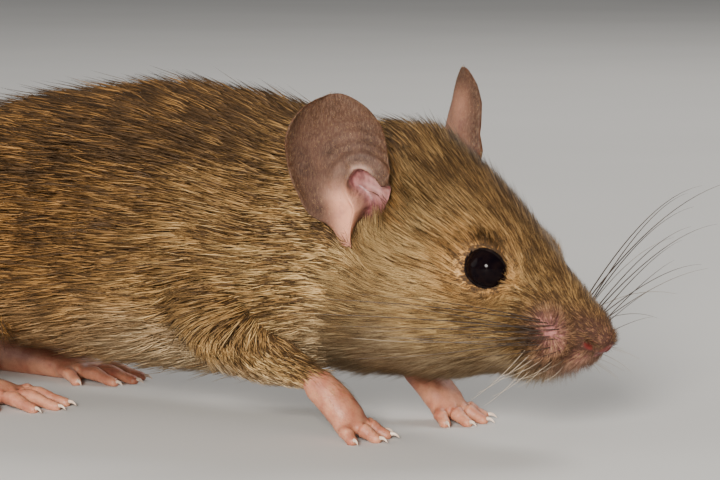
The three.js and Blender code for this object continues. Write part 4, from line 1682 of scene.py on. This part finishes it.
# places on the head that the markings are told by, as (back, side, up)
PAD_MIDDLE = (3.6, 3.15, -0.85)
NOSTRIL = (0.85, 1.45, -0.68)
WHISKER_SHADOW = (4.75, 3.6, -1.6)
EAR_HOLLOW = (20.9, 7.6, -1.0)
EAR_FRONT = (17.5, 7.1, 1.4)
GOLD_TUFT = ((16.6, 6.9, 2.0), (18.0, 6.4, 3.8), (19.4, 5.2, 5.6))


@dataclass
class Markings:
    """Where the coat is dark, pale, golden or thin: functions of the place, for skin and hair alike."""

    points: Array
    normals: Array

    def __post_init__(self) -> None:
        """Keeps the places as seen from the head, with both sides folded together."""
        self.head = head_view(self.points)
        self.head[:, 1] = np.abs(self.head[:, 1])

    def gap(self, place: Sequence[float], size: Sequence[float] = (1.0, 1.0, 1.0)) -> Array:
        """Gives the distance to a place on the head, counted in sizes along its axes."""
        return np.linalg.norm((self.head - np.array(place)) / np.array(size), axis=-1)

    def tone(self) -> Array:
        """Gives 1 on the back and sides, and falls to 0 on belly, throat, chin and the lower lip."""
        wander = 0.12 * soft_noise(self.points, 3.0, 11)
        facing = fade(self.normals[:, 2] + wander, -0.85, -0.3)
        lip = fade(self.head[:, 0], 7.5, 5.0) * fade(self.head[:, 2], -2.9, -3.5)
        return facing * (1 - lip)

    def dusk(self) -> Array:
        """Gives where the coat is darker: dark hairs on nose, pads and eyes, darker hair and painted shade on
        top, and painted shade at the rear, behind the pads and by the ears.
        """
        wander = 0.15 * soft_noise(self.points, 2.5, 23)
        # darker on all that faces up: darker hair along the back and crown, and painted shade where less light
        # falls
        top = 0.95 * fade(self.normals[:, 2] + wander, 0.1, 0.8)
        # painted shade, darker towards the rear of the trunk
        rear = 0.65 * fade(self.head[:, 0], 26, 48)
        bridge = 0.75 * fade(self.head[:, 0], 5.2, 1.6) * fade(self.head[:, 2], -0.9, 0.1)
        nose = 0.8 * fade(self.head[:, 0], 3.0, 1.7) * fade(self.head[:, 2], -1.9, -0.9)
        shadow = 0.85 * fade(self.gap(WHISKER_SHADOW, (1.5, 1.5, 1.1)), 1.4, 0.3)
        # painted shade in the hollow under each ear and before the cup of its opening
        hollow = fade(self.gap(EAR_HOLLOW, (2.3, 1.6, 1.1)), 1.3, 0.6)
        hollow = np.maximum(hollow, 0.85 * fade(self.gap(EAR_FRONT, (1.5, 1.6, 1.8)), 1.3, 0.4))
        cheek = 0.4 * fade(self.gap((16.0, 7.0, -3.0), (8.0, 8.0, 5.0)), 1.2, 0.5)
        pad = self.gap(PAD_MIDDLE, (1.7, 1.7, 1.9))
        ring = 0.75 * fade(pad, 0.7, 1.15) * fade(pad, 1.9, 1.3)
        eye = fade(self.gap(EYE), 2.0, 1.8)
        spots = np.max([bridge, nose, shadow, hollow, ring, eye], axis=0)
        broad = np.minimum(top + rear, 1.05) * (1 - 0.75 * fade(self.gap(EYE), 4.0, 2.6))
        return np.clip(np.maximum(1.3 * spots, broad) - cheek, -0.4, 1.3)

    def gold(self) -> Array:
        """Gives the warm tufts before the ears, and a ring round the eyes."""
        tuft = path_gap(self.head, GOLD_TUFT)
        ring = fade(self.gap(EYE), 4.2, 2.3)
        rear = 0.45 * fade(self.head[:, 0], 28, 46)
        return np.clip(0.9 * fade(tuft, 2.0, 0.4) + 0.4 * ring + rear, 0, 1)

    def rose(self) -> Array:
        """Gives the pink of the nose and the whisker pads, where skin shows through the hair."""
        pad = fade(self.gap(PAD_MIDDLE, (2.0, 1.9, 2.2)), 1.4, 0.3)
        nose = 0.8 * fade(self.head[:, 0], 3.8, 2.0) * fade(self.head[:, 2], 1.7, 0.7)
        lip = 0.95 * fade(self.head[:, 0], 5.2, 3.4) * fade(self.head[:, 2], -0.2, -1.6)
        lip = lip * fade(self.head[:, 2], -4.2, -3.0)
        return np.clip(np.maximum(np.maximum(pad, nose), lip), 0, 0.95)

    def bare(self) -> Array:
        """Gives the naked red skin round the nostrils and at the very front of the nose."""
        front = fade(self.gap((0.1, 0.0, -1.0), (0.6, 0.75, 0.7)), 1.15, 0.8)
        return np.maximum(fade(self.gap(NOSTRIL, (0.52, 0.6, 0.4)), 1.2, 0.7), front)

    def put_on(self, mesh: bpy.types.Mesh, each: int = 1, pinkness: float = 1.0) -> None:
        """Stores the markings on a mesh, the same for each so many vertices.

        Args:
            mesh: The mesh.
            each: Vertices for each place.
            pinkness: Share of the pink that shows.
        """
        marks = {"tone": self.tone(), "dusk": self.dusk(), "gold": self.gold(), "rose": pinkness * self.rose()}
        for name, values in marks.items():
            carry(mesh, name, np.repeat(values, each))


def dressed_skin(hide: Hide) -> bpy.types.Object:
    """Makes the skin piece, with a finish for each kind of skin and the markings of the coat.

    Args:
        hide: The joined skin.
    Returns:
        The piece.
    """
    mesh = bare_mesh("skin", in_frame(hide.points), hide.faces)
    markings = Markings(hide.points, hide.normals)
    markings.put_on(mesh)
    carry(mesh, "bare", markings.bare())
    # the ear's marks, with a painted highlight in the bowl and another along the ridge's arch
    ear_marks = {name: np.zeros(len(hide.points)) for name in ("bowl", "glow", "lobe", "arch", "rim")}
    region = hide.region.copy()
    for hand in HANDS:
        ear = Ear(hand)
        own = (region == Region.EAR.value) & (hide.points[:, 1] * hand > 0)
        for name, values in ear.colours(hide.unwrap, hide.place).items():
            ear_marks[name] = np.where(own, values, ear_marks[name])
        cup = (region == Region.BODY.value) & ear.in_cup(hide.points)
        region[cup] = Region.EAR.value
        ear_marks["bowl"][cup] = 1.0
        # a little painted highlight on the head's skin that lines the cup
        ear_marks["glow"][cup] = 0.1
    for name, values in ear_marks.items():
        carry(mesh, name, values)
    finishes = (
        HideFinish(),
        PlainFinish("lid_skin", (0.004, 0.003, 0.003), (0.014, 0.009, 0.008), 0.8, 2500.0, 0.02),
        EarFinish(),
        HideFinish("leg_hide"),
        BareFinish(),
        TailFinish(),
    )
    for finish in finishes:
        mesh.materials.append(finish.material())
    kinds = np.median(region[hide.faces], axis=1).astype(np.int32)
    mesh.polygons.foreach_set("material_index", kinds)
    return piece("skin", mesh, "bare_skin", *FLESH)


@dataclass
class Eyeball:
    """The glossy dark ball of one eye, smoother and rounder than the solid it replaces."""

    hand: int
    around: int = 72
    rows: int = 40

    def build(self) -> bpy.types.Object:
        """Turns a half circle round the eye's own axis."""
        eye = EyeOpening(self.hand)
        bend = np.linspace(0, np.pi, self.rows + 2)[1:-1]
        turn = np.linspace(0, 2 * np.pi, self.around, endpoint=False)
        reach = np.sin(bend)[:, None, None] * (
            np.cos(turn)[None, :, None] * eye.forward + np.sin(turn)[None, :, None] * eye.upward
        )
        rings = eye.centre + EYE_RADIUS * (reach + np.cos(bend)[:, None, None] * eye.axis)
        patch = Patch.of_rings(rings, Region.LID, (0, 0, 1, 1))
        side = HANDS[self.hand]
        mesh = bare_mesh(f"eyeball_{side}", in_frame(patch.points), patch.faces)
        gloss = bpy.data.materials.get("eye_gloss")
        finish = PlainFinish("eye_gloss", (0.002, 0.001, 0.002), (0.006, 0.003, 0.003), 0.05, specular=0.055)
        mesh.materials.append(gloss or finish.material())
        return piece(mesh.name, mesh, "eye", f"eye_{side}")


@dataclass
class Claws:
    """The claws: a small bent horn at the tip of each digit, resting its point on the ground."""

    length: float = 0.72
    radius: float = 0.17

    def build(self) -> bpy.types.Object:
        """Carries a tapered round section from inside each toe forwards and down."""
        made = []
        for limb in all_limbs():
            for toe in limb.toes:
                knots = limb.toe_knots(toe)
                forward = unit((knots[-1, :3] - knots[-2, :3]) * np.array([1, 1, 0]))
                start = knots[-1, :3] + np.array([0, 0, 0.12])
                shares = np.linspace(-0.4, 1, 6)
                heights = start[2] + 0.1 * np.sin(shares * 2) - (start[2] - 0.03) * np.maximum(shares, 0) ** 2
                course = start + forward * (0.36 + self.length * shares)[:, None]
                course[:, 2] = heights
                radii = self.radius * np.sqrt(np.maximum(1 - shares, 0.01))
                radii = np.minimum(radii, np.maximum(course[:, 2] - 0.005, 0.02))
                rings = tube(np.column_stack([course, 0.8 * radii, radii]), 14, 10, (0.6, 0.6), 3)
                rings[..., 2] = np.maximum(rings[..., 2], 0.0)
                made.append(Patch.of_rings(rings, Region.FOOT, (0, 0, 1, 1)))
        points, faces = Patch.joined(made)
        mesh = bare_mesh("claws", in_frame(points), faces)
        finish = PlainFinish("horn", (0.62, 0.45, 0.34), (0.75, 0.6, 0.48), 0.35, 2200.0)
        mesh.materials.append(finish.material())
        return piece("claws", mesh, "bare_skin")


# ------------------------------------------------------------------ coat
@dataclass
class Roots:
    """Where hairs grow: places on the skin and what each hair needs from there."""

    points: Array
    normals: Array
    lie: Array
    unwrap: Array
    place: Array
    region: Array
    length: Array

    def where(self, chosen: Array) -> "Roots":
        """Keeps the chosen roots."""
        return Roots(*(getattr(self, name)[chosen] for name in self.__dataclass_fields__))


def sow(hide: Hide, density: Array, rng: np.random.Generator) -> Roots:
    """Strews roots over the skin, evenly along the running sum of area times density.

    Args:
        hide: The skin.
        density: Hairs for each square millimetre, one value for each vertex.
        rng: Where the random numbers come from.
    Returns:
        The roots.
    """
    corners = hide.points[hide.faces]
    area = np.linalg.norm(np.cross(corners[:, 1] - corners[:, 0], corners[:, 2] - corners[:, 0]), axis=-1) / 2
    wanted = np.cumsum(area * density[hide.faces].mean(1))
    count = int(wanted[-1])
    face = np.searchsorted(wanted, (np.arange(count) + rng.uniform(0, 1, count)) * wanted[-1] / count)
    face = np.minimum(face, len(hide.faces) - 1)
    a, b = rng.uniform(0, 1, (2, count))
    over = a + b > 1
    a, b = np.where(over, 1 - a, a), np.where(over, 1 - b, b)
    shares = np.stack([1 - a - b, a, b], -1)
    chosen = hide.faces[face]

    def mixed(values: Array) -> Array:
        """Mixes a value of the three corners by the root's shares."""
        weight = shares if values.ndim == 1 else shares[..., None]
        return (values[chosen] * weight).sum(1)

    first = chosen[:, 0]
    return Roots(
        mixed(hide.points),
        unit(mixed(hide.normals)),
        unit(mixed(hide.lie)),
        hide.unwrap[first],
        hide.place[first],
        hide.region[first],
        mixed(hide.hair),
    )


def locks(points: Array, size: float, seed: int) -> tuple[Array, Array]:
    """Finds the lock that each root belongs to: the nearest of one strewn middle in each cell round it.

    Args:
        points: The roots.
        size: Distance between one lock and the next.
        seed: Which locks to draw.
    Returns:
        The middle of each root's lock, and a steady random number for it.
    """
    scaled = points / size
    cell = np.floor(scaled).astype(np.int64)
    best = np.full(len(points), np.inf)
    middle = np.zeros_like(points)
    number = np.zeros(len(points))
    for step in np.ndindex(3, 3, 3):
        here = cell + np.array(step) - 1
        centre = here + np.stack([dice(here, seed + axis) for axis in range(3)], -1)
        gap = dot(scaled - centre, scaled - centre)
        nearer = gap < best
        best = np.where(nearer, gap, best)
        middle = np.where(nearer[:, None], centre * size, middle)
        number = np.where(nearer, dice(here, seed + 3), number)
    return middle, number


# radius of the round posts that the lie of the hair turns about, and how far off they still turn it
EYE_POST = (2.3, 4.5)
EAR_POST = (3.0, 6.0)


def parted(roots: Roots) -> Array:
    """Turns the lie of the hair round the eyes and the feet of the ears, and out from the middle of each pad.

    Args:
        roots: The roots.
    Returns:
        The new lie: the old one less its share of a round post's turning, which fades with distance squared.
    """
    lie = roots.lie.copy()
    posts = []
    for hand in HANDS:
        eye = EyeOpening(hand)
        posts.append((eye.centre, eye.axis, *EYE_POST))
        foot, rise, facing, _ = Ear(hand).frame()
        posts.append((foot + 2.5 * rise + facing, rise, *EAR_POST))
    for centre, axis, radius, limit in posts:
        apart = roots.points - centre
        flat = apart - dot(apart, axis)[:, None] * axis
        gap = np.linalg.norm(flat, axis=-1)
        outwards = unit(flat)
        near = fade(np.linalg.norm(apart, axis=-1), limit * 1.6, limit)
        share = (radius / np.maximum(gap, radius)) ** 2 * near
        facing = dot(lie, outwards)[:, None]
        share = share[:, None] * fade(facing, 0.55, -0.1)
        lie = unit(lie - share * (2 * facing * outwards - lie))
    for hand in HANDS:
        apart = roots.points - head_place(sided(PAD_MIDDLE, hand))
        outwards = unit(apart - dot(apart, roots.normals)[:, None] * roots.normals)
        share = fade(np.linalg.norm(apart, axis=-1), 2.5, 0.9)
        lie = unit(blend(lie, outwards, share[:, None]))
    return lie


@dataclass(frozen=True)
class Stretch:
    """One piece of the coat: where it grows, and what its hairs are like."""

    name: str
    region: Region
    end: float = 99.0  # place along the body where it ends
    knots: int = 3  # points of a hair's course
    shade: tuple[float, float] = (0.0, 1.0)
    width: float = 0.0  # half-width of a hair, or 0 to read it along the body
    lift: float = 1.0


STRETCHES = (
    Stretch("coat_muzzle", Region.BODY, 2.9, 2),
    Stretch("coat_face", Region.BODY, 4.9, 2),
    Stretch("coat_cheeks", Region.BODY, 6.3, 2),
    Stretch("coat_jaws", Region.BODY, 7.4, 2),
    Stretch("coat_crown", Region.BODY, 8.8),
    Stretch("coat_neck", Region.BODY, 9.8),
    Stretch("coat_shoulders", Region.BODY, 10.8),
    Stretch("coat_chest", Region.BODY, 11.9),
    Stretch("coat_flanks", Region.BODY, 13.1),
    Stretch("coat_hips", Region.BODY, 14.5),
    Stretch("coat_rump", Region.BODY),
    Stretch("coat_legs", Region.LEG, width=0.05),
    Stretch("coat_feet", Region.FOOT, knots=2, shade=(0.4, 0.9), width=0.014),
    Stretch("coat_ears", Region.EAR, knots=2, shade=(0.15, 0.75), width=0.011, lift=0.7),
    Stretch("coat_tail", Region.TAIL, knots=2, shade=(0.0, 0.5), width=0.014, lift=0.8),
)


@dataclass
class Coat:
    """The coat: hairs in small locks that lie back along the body, each one a thin closed spike."""

    hide: Hide
    seed: int = 17
    # place along the body and hairs for each square millimetre there
    densities: Sequence = (
        (0, 160), (2, 160), (4, 140), (6, 105), (7.4, 76),
        (7.41, 56), (8.6, 38), (10, 26), (12, 20), (17, 20),
    )
    # place along the body and half-width of a hair
    widths: Sequence = (
        (0, 0.024), (2, 0.025), (4, 0.028), (6, 0.034), (7.4, 0.04),
        (8.6, 0.047), (10, 0.053), (12, 0.058), (17, 0.056),
    )
    other_densities: dict[Region, float] = field(
        default_factory=lambda: {Region.LEG: 27.0, Region.FOOT: 16.0, Region.EAR: 30.0, Region.TAIL: 7.0}
    )
    bury: float = 0.12
    root_lift: float = math.radians(27)
    tip_lift: float = math.radians(4)
    straight_lift: float = math.radians(15)
    guard_share: float = 0.06
    guard_shortest: float = 1.4
    guard_growth: float = 1.22
    lock_share: float = 0.16  # size of a lock over the length of its hair
    lock_sizes: tuple[float, float] = (0.22, 0.48)
    bare_oval: tuple[float, float] = (1.84, 1.5)  # half-axes of the bare place at an eye
    lowest: float = 0.06
    pinkness: float = 0.55
    bake_patch: float = 0.003

    def density(self) -> Array:
        """Gives the density at each vertex of the skin, none on bare skin, in the eyes or inside the ears."""
        hide = self.hide
        value = np.where(hide.region == Region.BODY.value, along_steps(self.densities, hide.place), 0.0)
        for region, density in self.other_densities.items():
            value = np.where(hide.region == region.value, density, value)
        value = np.where((hide.region == Region.FOOT.value) & (hide.normals[:, 2] < 0.0), 0.0, value)
        body = hide.region == Region.BODY.value
        for hand in HANDS:
            eye = EyeOpening(hand)
            apart = hide.points - eye.centre
            long, tall = self.bare_oval
            oval = np.hypot(dot(apart, eye.forward) / long, dot(apart, eye.upward) / tall)
            value = value * (1 + 0.7 * fade(np.linalg.norm(apart, axis=-1), 3.0, 2.0))
            value = np.where((oval < 1) & (dot(apart, eye.axis) > -2.5), 0.0, value)
            value = np.where(body & Ear(hand).in_cup(hide.points, 0.8), 0.35 * value, value)
            value = np.where(body & Ear(hand).in_cup(hide.points, 4.4), 0.0, value)
        return value * (1 - fade(Markings(hide.points, hide.normals).bare(), 0.1, 0.5))

    def trimmed(self, roots: Roots) -> Array:
        """Shortens the hair close to the eyes, before the ears and on the pads."""
        length = roots.length.copy()
        body = roots.region == Region.BODY.value
        for hand in HANDS:
            apart = roots.points - EyeOpening(hand).centre
            eye = np.linalg.norm(apart, axis=-1)
            towards = fade(dot(roots.lie, unit(-apart)), 0.0, 0.5) * fade(eye, 3.2, 2.3)
            gap, height = Ear(hand).inside(roots.points)
            ear = np.where(height > 0.5, fade(gap, 2.6, 5.5), 1.0)
            pad = np.linalg.norm(roots.points - head_place(sided(PAD_MIDDLE, hand)), axis=-1)
            hollow = np.linalg.norm(roots.points - head_place(sided(EAR_HOLLOW, hand)), axis=-1)
            ear = ear * blend(0.25, 1.0, fade(hollow, 1.8, 3.6))
            factor = blend(0.72, 1.0, fade(eye, 1.9, 3.4)) * (1 - 0.55 * towards)
            factor = factor * blend(0.45, 1.0, ear) * blend(0.8, 1.0, fade(pad, 1.0, 2.6))
            length = np.where(body, length * factor, length)
        return length

    def grow(self) -> list[bpy.types.Object]:
        """Grows the whole coat.

        Returns:
            Its pieces, in order along the body, and then the legs', feet's, ears' and tail's.
        """
        rng = np.random.default_rng(self.seed)
        roots = sow(self.hide, self.density(), rng)
        roots.lie = np.where((roots.region == Region.BODY.value)[:, None], parted(roots), roots.lie)
        high = fade(roots.points[:, 2], 6.0, 10.5) * (roots.region == Region.LEG.value)
        roots.lie = unit(blend(roots.lie, np.array([-0.93, 0.0, -0.36]), high[:, None]))
        roots.length = self.trimmed(roots)
        pieces = []
        start = -1.0
        for stretch in STRETCHES:
            chosen = roots.region == stretch.region.value
            if stretch.region is Region.BODY:
                chosen &= (roots.place >= start) & (roots.place < stretch.end)
                start = stretch.end
            pieces.append(self.piece(stretch, roots.where(chosen), rng))
        return pieces

    def courses(self, stretch: Stretch, roots: Roots, rng: np.random.Generator) -> tuple[Array, Array, Array]:
        """Works out each hair's course: it leaves the skin at a slant, bends down, and leans to its lock.

        Args:
            stretch: The piece of the coat.
            roots: The roots.
            rng: Where the random numbers come from.
        Returns:
            The points along each hair, the direction across it, and its shade.
        """
        count = len(roots.points)
        size = float(np.clip(self.lock_share * np.median(roots.length), *self.lock_sizes))
        middle, number = locks(roots.points, size, self.seed)
        second, odd = locks(roots.points, size * 3.3, self.seed + 9)
        guard = (rng.uniform(0, 1, count) < self.guard_share) & (roots.length > self.guard_shortest)
        length = roots.length * rng.uniform(0.74, 1.14, count) * blend(0.88, 1.12, number)
        length = length * np.where(guard, self.guard_growth, 1.0)
        head = head_view(roots.points)
        lip = fade(head[:, 0], 7.0, 4.5) * fade(head[:, 2], -2.2, -3.2)
        length = length * (1 + 0.5 * lip)
        lie = roots.lie + lip[:, None] * (-0.8 * HEAD_AXES[2] - 0.5 * HEAD_AXES[0])
        lie = unit(lie - dot(lie, roots.normals)[:, None] * roots.normals)
        side = np.cross(roots.normals, lie)
        yaw = 0.12 * soft_noise(roots.points, size * 5, 3) + 0.12 * (number - 0.5) + 0.16 * (odd - 0.5)
        yaw = yaw + rng.normal(0, 0.09, count)
        lie = unit(lie + side * yaw[:, None])
        side = unit(np.cross(roots.normals, lie))
        straight = self.straight_lift + 0.2 * fade(head[:, 0], 5.0, 3.0)
        bent = self.root_lift * blend(0.62, 1.0, fade(head[:, 0], 17.5, 25))
        wander = 1 + 0.3 * (number - 0.5) + 0.35 * (odd - 0.5) + rng.normal(0, 0.13, count)
        lift = (straight if stretch.knots == 2 else bent) * wander * stretch.lift
        lift = lift * (1 + 1.4 * lip) + np.where(guard, 0.06, 0.0)
        low = self.tip_lift + 0.14 * (number - 0.5) + rng.normal(0, 0.05, count)
        low = np.where(stretch.knots > 2, low, lift)
        start = lie * np.cos(lift)[:, None] + roots.normals * np.sin(lift)[:, None]
        end = lie * np.cos(low)[:, None] + roots.normals * np.sin(low)[:, None]
        pull = 0.5 * dot(middle - roots.points, side) + 0.1 * dot(second - roots.points, side)
        points = []
        for share in np.linspace(0, 1, stretch.knots):
            reach = start * (share - share**2 / 2) + end * (share**2 / 2)
            sunk = roots.normals * (self.bury * max(0.0, 1 - 2 * share))
            place = roots.points - sunk + reach * length[:, None] + side * (pull * share**1.5)[:, None]
            place[:, 2] = np.maximum(place[:, 2], self.lowest)
            points.append(place)
        trunk = fade(head[:, 0], 18, 30)
        own = rng.uniform(-0.5, 0.5, count)
        shade = blend(0.45, 0.3, trunk) * (number - 0.5) + blend(0.55, 0.5, trunk) * own
        shade = 0.5 + blend(1.75, 0.85, trunk) * shade + 0.1 * (odd - 0.5)
        shade = np.where(guard, 0.05, np.clip(shade, 0, 1))
        return np.stack(points, 1), side, blend(stretch.shade[0], stretch.shade[1], shade)

    def piece(self, stretch: Stretch, roots: Roots, rng: np.random.Generator) -> bpy.types.Object:
        """Grows one piece of the coat.

        Args:
            stretch: What it is.
            roots: Its roots.
            rng: Where the random numbers come from.
        Returns:
            The piece.
        """
        course, side, shade = self.courses(stretch, roots, rng)
        count = len(course)
        width = (stretch.width or along_steps(self.widths, roots.place)) * rng.uniform(0.7, 1.25, count)
        flat = flat_places(roots.unwrap)
        mesh = spikes(stretch.name, course, side, roots.normals, width, flat, self.bake_patch)
        each = 3 * stretch.knots - 2
        Markings(roots.points, roots.normals).put_on(mesh, each, self.pinkness)
        rings = np.append(np.repeat(np.linspace(0, 1, stretch.knots)[:-1], 3), 1.0)
        head = head_view(roots.points)
        head[:, 1] = np.abs(head[:, 1])
        bright = 0.35 * fade(np.linalg.norm(head - np.array(EYE), axis=-1), 3.0, 2.0)
        carry(mesh, "along", (rings + (1 - rings) * bright[:, None]).ravel())
        carry(mesh, "shade", np.repeat(shade, each))
        mesh.materials.append(shared_hair())
        return piece(stretch.name, mesh, "coat")


def shared_hair() -> bpy.types.Material:
    """Gives the one material of all hair of the coat, made when it is first asked for."""
    return bpy.data.materials.get("hair") or HairFinish().material()


def flat_places(unwrap: Array) -> Array:
    """Stretches a piece's places on the unwrap over nearly the whole square, so that its bake has room."""
    low, high = unwrap.min(0), unwrap.max(0)
    return 0.01 + 0.975 * (unwrap - low) / np.maximum(high - low, 1e-6)


def spikes(
    name: str, course: Array, side: Array, above: Array, width: Array, flat: Array, patch: float
) -> bpy.types.Mesh:
    """Makes a closed spike along each course: three-sided rings that narrow a little, and a point.

    Args:
        name: Name of the mesh.
        course: Points along each hair, as [hair, step, xyz].
        side: The direction across each hair.
        above: The direction away from the skin.
        width: Half-width of each hair at its root.
        flat: Place of each root on the flat unwrap.
        patch: Size of a hair's own patch there.
    Returns:
        The mesh, in the frame, with its unwrap.
    """
    count, knots = course.shape[:2]
    turn = np.radians([210.0, 90.0, -30.0])
    ring = side[:, None] * np.cos(turn)[:, None] + above[:, None] * (0.7 * np.sin(turn))[:, None]
    parts = []
    for step in range(knots - 1):
        parts.append(course[:, step : step + 1] + ring * (width * (1 - 0.15 * step))[:, None, None])
    points = np.concatenate(parts + [course[:, -1:]], axis=1)
    one = [(0, 2, 1)]
    for here, there in ((0, 1), (1, 2), (2, 0)):
        for step in range(knots - 2):
            a, b = 3 * step + here, 3 * step + there
            one += [(a, b, b + 3), (a, b + 3, a + 3)]
        last = 3 * (knots - 2)
        one.append((last + here, last + there, last + 3))
    one = outwards(points[0] - points[0].mean(0), np.array(one))
    each = points.shape[1]
    faces = (one[None] + (np.arange(count) * each)[:, None, None]).reshape(-1, 3)
    mesh = bare_mesh(name, in_frame(points.reshape(-1, 3)), faces)
    spread = [(aside, step / (knots - 1)) for step in range(knots - 1) for aside in (-0.5, 0.1, 0.5)]
    places = (flat[:, None] + (np.array(spread + [(0.0, 1.0)]) * patch)[None]).reshape(-1, 2)
    layer = mesh.uv_layers.new(name="OFBake")
    layer.data.foreach_set("uv", np.ascontiguousarray(places[faces.ravel()], np.float32).ravel())
    return mesh


# ------------------------------------------------------------------ studio
@dataclass
class Studio:
    """The camera, the floor and the lights round the model."""

    azimuth: float = math.radians(28)
    elevation: float = math.radians(8)
    distance: float = 0.224
    lens: float = 150.0
    sensor: float = 36.0
    frame_size: tuple[int, int] = (720, 480)
    nose_at: tuple[float, float] = (613, 337)
    looked_at: tuple[float, float, float] = (0.03, 0, 0.015)
    floor_reach: float = 3.0
    world_light: float = 0.3
    # name, place, size, power and colour of each light
    lights: Sequence = (
        ("key", (0.28, -0.56, 0.2), 0.16, 7.6, (1.0, 0.96, 0.9)),
        ("fill", (-0.6, -0.5, 0.35), 0.6, 2.0, (1.0, 0.98, 0.95)),
        ("rim", (0.1, 0.55, 0.6), 0.4, 3.2, (1.0, 0.98, 0.95)),
    )

    def camera(self) -> None:
        """Stands the camera off the nose tip, turned so that the tip falls at its place in the frame."""
        back = Vector(
            (
                math.sin(self.azimuth) * math.cos(self.elevation),
                -math.cos(self.azimuth) * math.cos(self.elevation),
                math.sin(self.elevation),
            )
        )
        across = (-back).cross(Vector((0, 0, 1))).normalized()
        above = across.cross(-back)
        focal = self.lens / self.sensor * self.frame_size[0]
        aside = self.nose_at[0] - self.frame_size[0] / 2
        below = self.nose_at[1] - self.frame_size[1] / 2
        looking = (-back * focal - across * aside + above * below).normalized()
        camera = bpy.data.objects.new("camera", bpy.data.cameras.new("camera"))
        camera.data.lens = self.lens
        camera.data.sensor_width = self.sensor
        camera.data.clip_start = 0.01
        camera.data.clip_end = 10.0
        camera.location = Vector(in_frame(NOSE)) + back * self.distance
        camera.rotation_mode = "QUATERNION"
        camera.rotation_quaternion = looking.to_track_quat("-Z", "Y")
        bpy.context.scene.collection.objects.link(camera)
        bpy.context.scene.camera = camera

    def light(self, name: str, place: Sequence[float], size: float, power: float, colour: Colour) -> None:
        """Hangs a soft round light that looks at the mouse."""
        lamp = bpy.data.lights.new(name, "AREA")
        lamp.shape = "DISK"
        lamp.size = size
        lamp.energy = power
        lamp.color = colour
        made = bpy.data.objects.new(name, lamp)
        made.location = Vector(place)
        made.rotation_mode = "QUATERNION"
        made.rotation_quaternion = (Vector(self.looked_at) - made.location).to_track_quat("-Z", "Y")
        bpy.context.scene.collection.objects.link(made)

    def build(self) -> None:
        """Makes the camera, a pale floor, and soft lights from the front, the side and behind."""
        self.camera()
        corners = self.floor_reach * np.array([(-1, -1, 0), (1, -1, 0), (1, 1, 0), (-1, 1, 0)])
        mesh = bare_mesh("floor", corners, np.array([(0, 1, 2), (0, 2, 3)]), smooth=False)
        finish = PlainFinish("floor", (0.6, 0.585, 0.56), (0.63, 0.615, 0.59), 0.7, 8.0)
        mesh.materials.append(finish.material())
        floor = bpy.data.objects.new("floor", mesh)
        bpy.context.scene.collection.objects.link(floor)
        floor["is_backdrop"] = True
        world = bpy.data.worlds.new("world")
        world.use_nodes = True
        background = world.node_tree.nodes["Background"]
        Nodes(world.node_tree).fill(background, Color=(0.9, 0.9, 0.9, 1), Strength=self.world_light)
        bpy.context.scene.world = world
        for values in self.lights:
            self.light(*values)


def main() -> None:
    """Builds the mouse piece by piece."""
    logging.basicConfig(level=logging.INFO, format="%(message)s")
    Studio().build()
    hide = SkinMaker().make()
    dressed_skin(hide)
    Coat(hide).grow()
    for hand in HANDS:
        Eyeball(hand).build()
    Claws().build()
    Whiskers().build()
    low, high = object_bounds()
    log.info("box %s %s mm", np.round(np.array(low) * 1000, 1), np.round(np.array(high) * 1000, 1))


if __name__ == "__main__":
    main()
